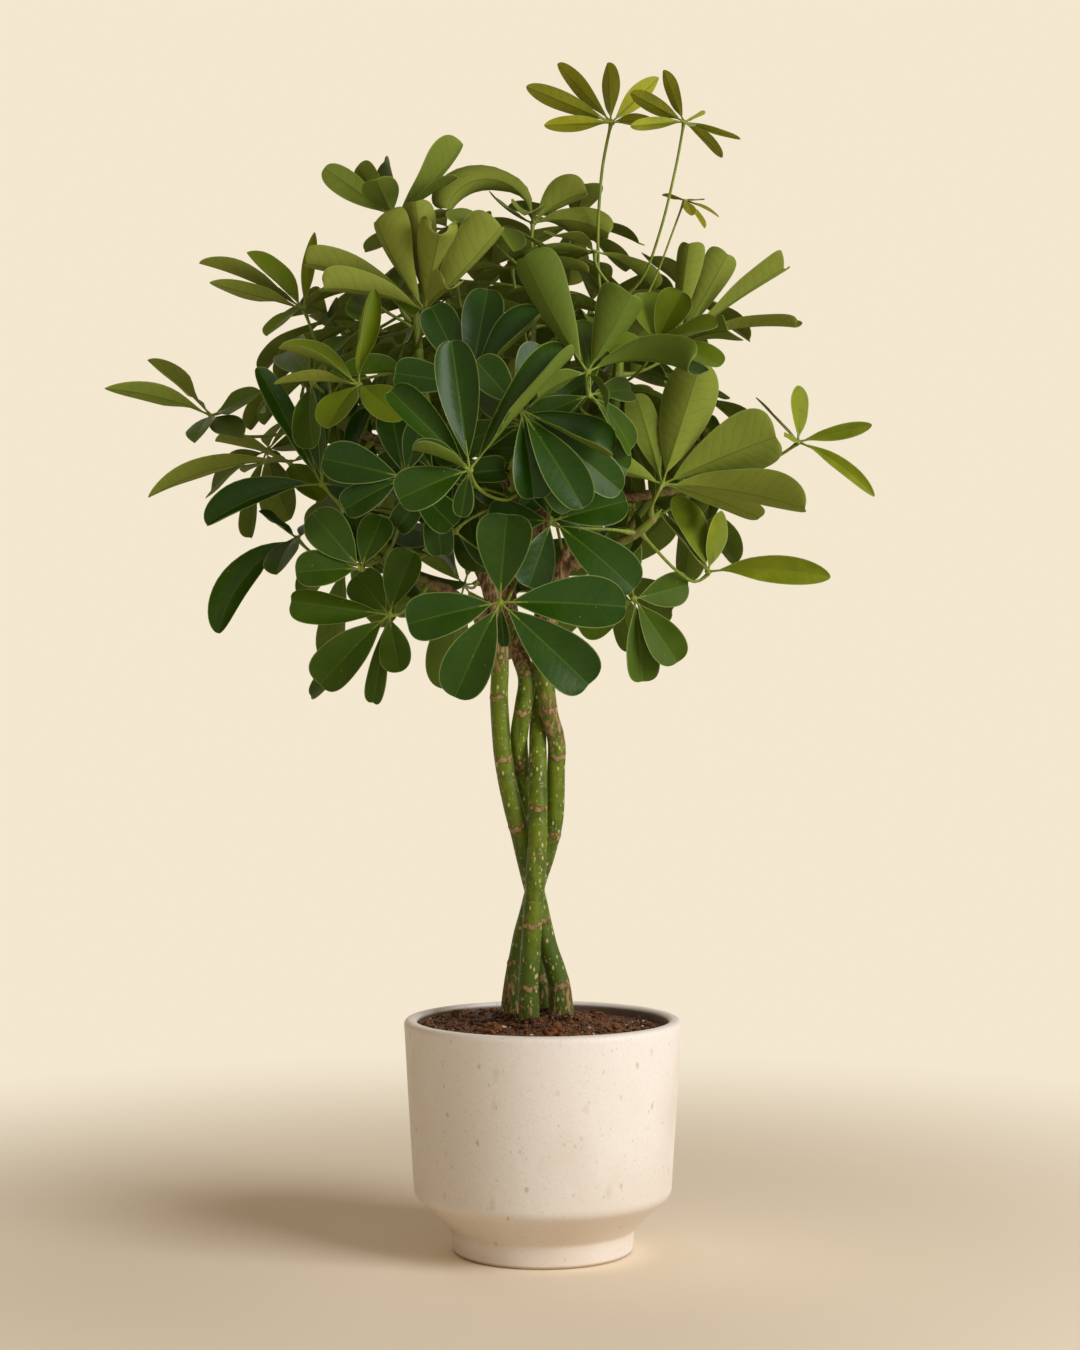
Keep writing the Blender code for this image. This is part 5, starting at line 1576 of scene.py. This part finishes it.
@dataclass
class Leaf:
    """A palmate leaf: a stalk that ends in a hub, and the leaflets round it."""

    name: str
    hub: Array
    facing: Array
    leaflets: list[Leaflet]
    tone: float
    pointed: float = 0.0
    stalk_radius: float = 1.15 * MM
    foot_radius: float = 2.3 * MM
    sunk: float = 2.5 * MM
    spacing: float = 4 * MM
    foot_length: Pair = (2 * MM, 13 * MM)  # between these it thins out to the stalk
    collar: float = 0.7 * MM  # how much the stalk swells under the hub
    collar_length: float = 9 * MM
    hub_radius: float = 2.7 * MM
    hub_half: float = 1.5 * MM
    hub_sunk: float = 0.6 * MM
    stalklet: float = 0.22  # how far a stalklet reaches, as a share of its leaflet
    stalklet_sunk: float = 0.5 * MM
    stalk_sides: int = 10
    hub_sides: int = 12
    stalklet_sides: int = 8

    def __post_init__(self) -> None:
        """Scale the stalk and the hub of a small leaf."""
        longest = max(norm(leaflet.tip) for leaflet in self.leaflets)
        self.scale = min(1.0, longest / FULL_LEAFLET)
        self.draw = random.Random(self.name)

    def add_tube(self, form: Form, line: Array, radii: Array, sides: int, shares: Array) -> None:
        """Add a tube of stalk.

        Args:
            form: What it is added to.
            line: Its middle line.
            radii: Its radius at each point.
            sides: How many sides it has.
            shares: How far from the wood each point lies, from 0 to 1.
        """
        limb = Limb(line, radii, sides)
        leaf = np.stack([np.full(len(line), self.tone), shares, np.full(len(line), 0.5)], axis=1)
        leaf = np.repeat(leaf, sides, axis=0)
        form.add(limb.surface(), limb.faces(), 2, blade=np.zeros_like(leaf), leaf=leaf)

    def add_stalk(self, form: Form, knots: Array) -> None:
        """Add the stalk, swollen at its foot and under its hub.

        Args:
            form: What it is added to.
            knots: Points of its middle line, from the wood to the hub.
        """
        foot = knots[0] - unit(knots[1] - knots[0]) * self.sunk
        end = self.hub - self.facing * self.hub_sunk
        line = smooth_line(np.concatenate([[foot], knots, [end]]), self.spacing)
        lengths = lengths_along(line)
        slim = math.sqrt(self.scale)
        radii = np.full(len(line), self.stalk_radius * slim)
        radii += (self.foot_radius - self.stalk_radius) * slim * (1.0 - ease(lengths, *self.foot_length))
        radii += self.collar * slim * (1.0 - ease(lengths[-1] - lengths, 0.0, self.collar_length))
        self.add_tube(form, line, radii, self.stalk_sides, lengths / lengths[-1])

    def add_hub(self, form: Form) -> None:
        """Add the flattened knob where the leaflets meet."""
        rise = np.linspace(-1.0, 1.0, 9)
        line = self.hub + np.outer(rise * self.hub_half * self.scale - self.hub_sunk, self.facing)
        radii = self.hub_radius * self.scale * np.sqrt(np.maximum(1 - rise**2, 0.02))
        self.add_tube(form, line, radii, self.hub_sides, np.ones(len(line)))

    def grow(self, name: str, slot: str, materials: list[bpy.types.Material], knots: Array,
             *nodes: str) -> None:
        """Grow the whole leaf as one piece.

        Args:
            name: The piece's name.
            slot: The slot of its finish.
            materials: Its finishes.
            knots: Points of the middle line of its stalk, from the wood to the hub.
            nodes: The solids that it stands for.
        """
        form = Form()
        self.add_leaflets(form)
        self.add_hub(form)
        self.add_stalk(form, knots)
        form.build(name, slot, materials, *nodes)

    def add_leaflets(self, form: Form) -> None:
        """Add the stalklet and the blade of each leaflet."""
        shares = np.linspace(0.0, self.stalklet, 8)
        radii = 0.75 + 0.35 * (1.0 - ease(shares, 0.0, 0.08)) - 0.2 * ease(shares, 0.12, self.stalklet)
        radii = radii * MM * math.sqrt(self.scale)
        for leaflet in self.leaflets:
            middle, _, up = leaflet.stations(self.facing, shares)
            line = self.hub + middle - up * self.stalklet_sunk
            self.add_tube(form, line, radii, self.stalklet_sides, np.ones(len(line)))
            Blade(self, leaflet).add_to(form)


@dataclass
class Crown:
    """The round crown of leaves, each grown over its solid."""

    match: float = 0.15 * MM  # how near a solid's corners those of its leaflets lie
    blade: float = 1.0 * MM
    hub_reach: float = 6 * MM
    ring_spread: float = 3.1 * MM
    regular_count: int = 6

    def __post_init__(self) -> None:
        """Make the finishes of the leaves."""
        self.finishes = [UPPER_FACE.material(), UNDER_FACE.material(), LeafStalk().material()]
        self.missed = 0

    @staticmethod
    def tone_and_top_light_at(height: float) -> float:
        """The colour of a plain leaf at a height in metres: the crown is paler towards its top, partly as its
        younger leaves are paler and partly as painted light on the lit top of the crown.
        """
        return min(max(0.36 + 2.3 * (height - 0.60), 0.12), 0.70)

    def settled(self, leaflet: Leaflet, leaf_hub: Array, facing: Array, tree: KDTree) -> Leaflet | None:
        """The leaflet as its solid has it.

        Args:
            leaflet: The leaflet before it gave way to its neighbours.
            leaf_hub: The leaf's hub.
            facing: The way the leaf's upper side faces.
            tree: The corners of the leaf's solid.

        Returns:
            The leaflet in its place, or None if the solid leaves it out.
        """
        for size, (lift, roll) in itertools.product(SIZES, TURNS):
            tried = leaflet.turned(facing, lift, roll, size)
            if all(tree.find(leaf_hub + corner)[2] < self.match for corner in tried.corners(facing)):
                return tried
        return None

    def stalk_knots(self, leaf: Leaf, corners: Array) -> Array:
        """The middle line of the stalk of a leaf's solid.

        Args:
            leaf: The leaf.
            corners: The corners of its solid.

        Returns:
            Points from the wood to the hub.
        """
        strips = [self.strip_corners(leaflet, leaf.facing) for leaflet in leaf.leaflets]
        tree = tree_of(leaf.hub + np.concatenate(strips))
        left = []
        for corner in corners:
            off = corner - leaf.hub
            high = float(off.dot(leaf.facing))
            out = norm(off - leaf.facing * high)
            in_hub = abs(high) < 1.5 * self.blade and out < self.hub_reach
            if not in_hub and tree.find(corner)[2] > 1.8 * self.blade:
                left.append(corner)
        return chain(np.array(left), self.ring_spread * math.sqrt(leaf.scale), leaf.hub)

    @staticmethod
    def strip_corners(leaflet: Leaflet, facing: Array) -> Array:
        """Every place where a leaflet's solid has corners: its blade, its midrib and its stalklet."""
        middle, _, _ = leaflet.stations(facing, np.array([STALKLET_END, MIDRIB_ROW]))
        return np.concatenate([leaflet.corners(facing), middle])

    def leaf(self, name: str, hub: Triple, facing: Pair, leaflets: list[Leaflet], slot: str,
             tone: float, pointed: float = 0.0) -> None:
        """Grow one leaf over its solid.

        Args:
            name: The leaf's name.
            hub: The place of its hub, in millimetres.
            facing: Where its upper side faces: degrees right of the front, and up.
            leaflets: Its leaflets before they gave way to their neighbours.
            slot: The slot of its finish.
            tone: Its colour.
            pointed: How pointed its leaflets are.
        """
        corners = node_points(name)
        tree = tree_of(corners)
        middle, ahead = np.array(hub, float) * MM, facing_vector(*facing)
        kept = [self.settled(leaflet, middle, ahead, tree) for leaflet in leaflets]
        self.missed += kept.count(None)
        leaf = Leaf(name, middle, ahead, [leaflet for leaflet in kept if leaflet], tone, pointed)
        knots = self.stalk_knots(leaf, corners)
        curls = [CURLS.get(name, {}).get(i, NO_CURL) for i in range(len(kept))]
        leaf.leaflets = [leaflet.curled(*curl) for leaflet, curl in zip(kept, curls) if leaflet]
        leaf.grow(f"{name}_grown", slot, self.finishes, knots, name)

    def build(self) -> None:
        """Grow every leaf."""
        for name, (hub, facing, tone, pointed, rows) in (MATURE_LEAVES | YOUNG_LEAVES).items():
            leaflets = [Leaflet.drawn(*row) for row in rows]
            slot = "mature_leaf" if name in MATURE_LEAVES else "young_leaf"
            self.leaf(name, hub, facing, leaflets, slot, tone, pointed)
        for name, (hub, facing, length, first) in REGULAR_LEAVES.items():
            leaflets = regular_leaflets(facing, self.regular_count, length, first)
            self.leaf(name, hub, facing, leaflets, "olive_leaf", self.tone_and_top_light_at(hub[2] * MM))
        LOG.info("%d leaflets not found in their solids", self.missed)


def regular_leaflets(facing: Pair, count: int, length: float, first: float) -> list[Leaflet]:
    """Leaflets at even turns round the hub, drooping a little, with uneven lengths.

    Args:
        facing: Where the leaf's upper side faces: degrees right of the front, and up.
        count: How many leaflets there are.
        length: Their mean length, in millimetres.
        first: The turn of the first, in degrees.

    Returns:
        The leaflets.
    """
    ahead = facing_vector(*facing)
    right = np.array(Vector(ahead).orthogonal().normalized())
    around = np.cross(ahead, right)
    leaflets = []
    for i in range(count):
        turn = math.radians(first + 360 * i / count + 6 * math.sin(2.4 * i))
        long = length * (1 + 0.13 * math.cos(1.9 * i + first))
        droop = math.radians(16 + 9 * math.sin(1.7 * i + first))
        out = right * math.cos(turn) + around * math.sin(turn)
        tip = (out * math.cos(droop) - ahead * math.sin(droop)) * long
        leaflets.append(Leaflet.drawn(*tip, long * 0.42, 10 * math.sin(3.1 * i), 22, 10))
    return leaflets


@dataclass
class Thicket:
    """Leaves that fill the inside of the crown, each where it has room among the others."""

    crown: Crown
    count: int = 56
    tries: int = 3600
    seed: int = 5
    centre: Triple = (-32 * MM, 0.0, 600 * MM)
    reach: Triple = (200 * MM, 160 * MM, 158 * MM)
    room: float = 1.2 * MM
    fewest: int = 4
    lowest_foot: float = 450 * MM
    longest_stalk: float = 150 * MM
    shortest_stalk: float = 18 * MM
    stalk_room: float = 1.6 * MM
    stalk_sunk: float = 2.2 * MM
    feet_spacing: float = 8 * MM
    feet: tuple[int, int] = (12, 6)  # how many near feet a stalk may have, and how many it tries
    depths: Pair = (0.35, 0.86)  # how far out the hubs may lie, as shares of the reach
    leaflets: tuple[int, ...] = (6, 7)
    lengths: Pair = (54, 78)  # in millimetres, and bends and cups in degrees
    bends: Pair = (14, 52)
    cups: Pair = (8, 26)
    tones: Pair = (-0.16, 0.05)
    # Where it leaves what is behind it in view, in millimetres: x, z and radius
    windows: tuple[Triple, ...] = ((132, 590, 62), (-45, 642, 50))
    window_y: float = -30 * MM
    # Which leaves are pinched out again while their room stays free, by their turn to grow
    pinched: tuple[int, ...] = (20,)

    def __post_init__(self) -> None:
        """Note the space that the leaves and the wood take."""
        self.draw = random.Random(self.seed)
        leaves = [name for name in frame["nodes"] if "leaf" in name]
        self.leaf_space = self.space_of(leaves)
        self.spaces = [self.leaf_space, self.space_of([*STEMS, *BRANCHES])]
        lines = [np.array(STEMS[name], float)[:, :3] * MM for name in STEMS]
        lines += [branch_knots(name) for name in BRANCHES]
        self.wood = np.concatenate([smooth_line(line, self.feet_spacing) for line in lines])
        self.wood = self.wood[self.wood[:, 2] > self.lowest_foot]

    @staticmethod
    def space_of(names: list[str]) -> BVHTree:
        """The skins of some solids as one space."""
        points, faces = [], []
        for name in names:
            mesh = frame["nodes"][name].data
            faces += [tuple(len(points) + corner for corner in face.vertices) for face in mesh.polygons]
            points += [corner.co.copy() for corner in mesh.vertices]
        return BVHTree.FromPolygons(points, faces)

    def blade_space(self, leaflet: Leaflet, hub: Array, facing: Array) -> tuple[BVHTree, Array]:
        """The space round the blade of a leaflet.

        Args:
            leaflet: The leaflet.
            hub: The leaf's hub.
            facing: The way the leaf's upper side faces.

        Returns:
            The space, and its points.
        """
        shares = np.array([0.16, 0.35, 0.55, 0.78, 1.0])
        half = leaflet.width / 2 * np.array([0.25, 0.6, 0.92, 1.0, 0.3])[:, None]
        middle, side, up = leaflet.stations(facing, shares)
        rise = up * half * math.sin(leaflet.cup)
        layers = []
        for off in (-self.room, self.room):
            layers += [middle + side * half + rise + up * off, middle - side * half + rise + up * off]
        ring = np.stack([layers[0], layers[1], layers[3], layers[2]], axis=1).reshape(-1, 3) + hub
        tree = BVHTree.FromPolygons(ring.tolist(), belt_faces(len(shares), 4) + end_faces(len(shares), 4))
        return tree, ring

    def inside(self, points: Array) -> bool:
        """Whether all points lie within the crown and none in front of a window."""
        off = (points - np.array(self.centre)) / np.array(self.reach)
        front = points[points[:, 1] < self.window_y] / MM
        ways = [(np.hypot(front[:, 0] - x, front[:, 2] - z), radius) for x, z, radius in self.windows]
        hides = any(np.any(away < radius) for away, radius in ways)
        return bool(np.all(np.sum(off**2, axis=1) < 1.0)) and not hides

    def stalk_space(self, line: Array) -> BVHTree:
        """The space round a stalk."""
        limb = Limb(line, np.full(len(line), self.stalk_room), 5)
        return BVHTree.FromPolygons(limb.surface().tolist(), limb.faces())

    def stalk(self, hub: Array, facing: Array) -> Array | None:
        """A stalk from the nearest wood that passes between the leaves.

        Args:
            hub: The leaf's hub.
            facing: The way the leaf's upper side faces.

        Returns:
            Points from the wood to the hub, or None if there is no way through.
        """
        end = hub - facing * self.stalk_sunk
        distance = np.linalg.norm(self.wood - end, axis=1) + np.maximum(self.wood[:, 2] - end[2], 0.0)
        near, tried = self.feet
        for foot in self.wood[self.draw.sample(list(np.argsort(distance)[:near]), tried)]:
            span = norm(end - foot)
            if not self.shortest_stalk <= span <= self.longest_stalk:
                continue
            first = foot + unit(end - foot) * 0.25 * span + np.array([0.0, 0.0, 0.10 * span])
            second = end - facing * 0.34 * span
            t = np.linspace(0.0, 1.0, 9)[:, None]
            line = foot * (1 - t) ** 3 + first * 3 * t * (1 - t) ** 2
            line = line + second * 3 * t**2 * (1 - t) + end * t**3
            tube = self.stalk_space(line[1:-1])
            if not any(tube.overlap(space) for space in (self.leaf_space, *self.spaces[2:])):
                return line
        return None

    def try_leaf(self) -> tuple[Leaf, Array, list[BVHTree]] | None:
        """Try to grow one leaf.

        Returns:
            The leaf, the points of its stalk and the space that it takes, or None if it has no room.
        """
        draw = self.draw
        way = unit(np.array([draw.gauss(-0.2, 1), draw.gauss(-0.5, 1), draw.gauss(0.3, 0.8)]))
        hub = np.array(self.centre) + way * np.array(self.reach) * draw.uniform(*self.depths)
        up, aside = np.array([0.0, 0.0, 0.55]), np.array([draw.gauss(0, 0.25) for _ in range(3)])
        facing = unit(way + up + aside)
        ahead = (math.degrees(math.atan2(facing[0], -facing[1])), math.degrees(math.asin(facing[2])))
        count, length, first = draw.choice(self.leaflets), draw.uniform(*self.lengths), draw.uniform(0, 60)
        leaflets, spaces = [], []
        for leaflet in regular_leaflets(ahead, count, length, first):
            bend, cup = math.radians(draw.uniform(*self.bends)), math.radians(draw.uniform(*self.cups))
            bent = replace(leaflet, bend=bend, cup=cup)
            space, points = self.blade_space(bent, hub, facing)
            if self.inside(points) and not any(space.overlap(other) for other in (*self.spaces, *spaces)):
                leaflets.append(bent)
                spaces.append(space)
        line = self.stalk(hub, facing) if len(leaflets) >= self.fewest else None
        if line is None:
            return None
        tone = self.crown.tone_and_top_light_at(hub[2]) + draw.uniform(*self.tones)
        spaces.append(self.stalk_space(line[1:]))
        return Leaf(f"inner_{hub[0]:.4f}", hub, facing, leaflets, tone), line, spaces

    def build(self) -> None:
        """Grow leaves one after the other until the crown is full."""
        grown = 0
        for _ in range(self.tries):
            found = self.try_leaf()
            if found is None:
                continue
            leaf, line, spaces = found
            self.spaces += spaces
            grown += 1
            if grown in self.pinched:
                continue
            leaf.grow(f"inner_leaf_{grown:02d}", "olive_leaf", self.crown.finishes, line)
            if grown == self.count:
                break
        LOG.info("%d inner leaves", grown - len(self.pinched))


# ------------ studio


@dataclass
class Studio:
    """A plain pale floor, soft lamps and the camera."""

    backdrop: Colour = (0.905, 0.800, 0.630)
    floor_colour: Colour = (0.90, 0.795, 0.63)
    ambient: Colour = (1.0, 0.69, 0.39)
    ambient_strength: float = 0.20
    floor_size: float = 14.0
    lens: float = 67.5
    camera_place: Triple = (-0.002, -1.82, 0.413)
    aim: Triple = (0.0, 0.0, 0.4)  # where every lamp points

    def floor(self) -> None:
        """Lay the floor: lit near the plant, and plain like the backdrop further off."""
        half = self.floor_size / 2
        mesh = bpy.data.meshes.new("floor")
        corners = [(-half, -half, 0.0), (half, -half, 0.0), (half, half, 0.0), (-half, half, 0.0)]
        mesh.from_pydata(corners, [], [(0, 1, 2, 3)])
        graph = Graph("floor")
        graph.feed(graph.surface.inputs["Base Color"], self.floor_colour)
        graph.feed(graph.surface.inputs["Roughness"], 0.9)
        plain = graph.node("ShaderNodeEmission", inputs={"Color": self.backdrop})
        graph.blend(graph.away().rise(0.25, 1.0), graph.surface, plain, "Material Output")
        mesh.materials.append(graph.material)
        piece = placed("floor", mesh)

    def world(self) -> None:
        """Light everything a little from all round, and show the backdrop behind it."""
        world = bpy.data.worlds.new("studio")
        world.use_nodes = True
        bpy.context.scene.world = world
        nodes = Nodes(world.node_tree)
        soft = nodes.tree.nodes["Background"]
        for socket, value in {"Color": self.ambient, "Strength": self.ambient_strength}.items():
            nodes.feed(soft.inputs[socket], value)
        seen = nodes.node("ShaderNodeBackground", inputs={"Color": self.backdrop})
        ray = nodes.node("ShaderNodeLightPath", output="Is Camera Ray")
        sharp = ray.beside("Is Glossy Ray").either(ray.beside("Is Transmission Ray"))
        nodes.blend(ray.either(sharp), soft, seen, "World Output")

    def lamp(self, name: str, place: Triple, size: float, power: float, colour: Colour) -> None:
        """Hang a soft square lamp that faces the crown.

        Args:
            name: The lamp's name.
            place: Where it hangs.
            size: The length of its side.
            power: Its power in watts.
            colour: Its colour.
        """
        light = bpy.data.lights.new(name, "AREA")
        light.size = size
        light.energy = power
        light.color = colour
        lamp = placed(name, light)
        lamp.location = place
        lamp.rotation_euler = (Vector(self.aim) - Vector(place)).to_track_quat("-Z", "Y").to_euler()

    def camera(self) -> None:
        """Set up the camera, level and in front of the plant."""
        view = bpy.data.cameras.new("camera")
        view.lens = self.lens
        view.clip_end = 50.0
        camera = placed("camera", view)
        camera.location = self.camera_place
        camera.rotation_euler = (math.radians(90), 0.0, 0.0)
        bpy.context.scene.camera = camera
        bpy.context.scene.view_settings.view_transform = "Standard"

    def build(self) -> None:
        """Set up the floor, the light and the camera."""
        self.floor()
        self.world()
        self.lamp("key_lamp", (1.9, -1.3, 1.35), 1.4, 57.0, (0.985, 0.99, 1.0))
        self.lamp("fill_lamp", (0.2, -2.3, 0.9), 1.6, 4.0, (1.0, 0.95, 0.88))
        self.lamp("back_lamp", (-0.6, 2.0, 1.6), 1.6, 8.0, (1.0, 0.97, 0.92))
        self.camera()


def main() -> None:
    """Build the studio, the pot and the plant."""
    logging.basicConfig(level=logging.INFO, format="%(message)s", stream=sys.stdout)
    crown = Crown()
    for builder in (Studio(), Pot(), Soil(), Plait(), Branches(), crown, Thicket(crown)):
        builder.build()


if __name__ == "__main__":
    main()
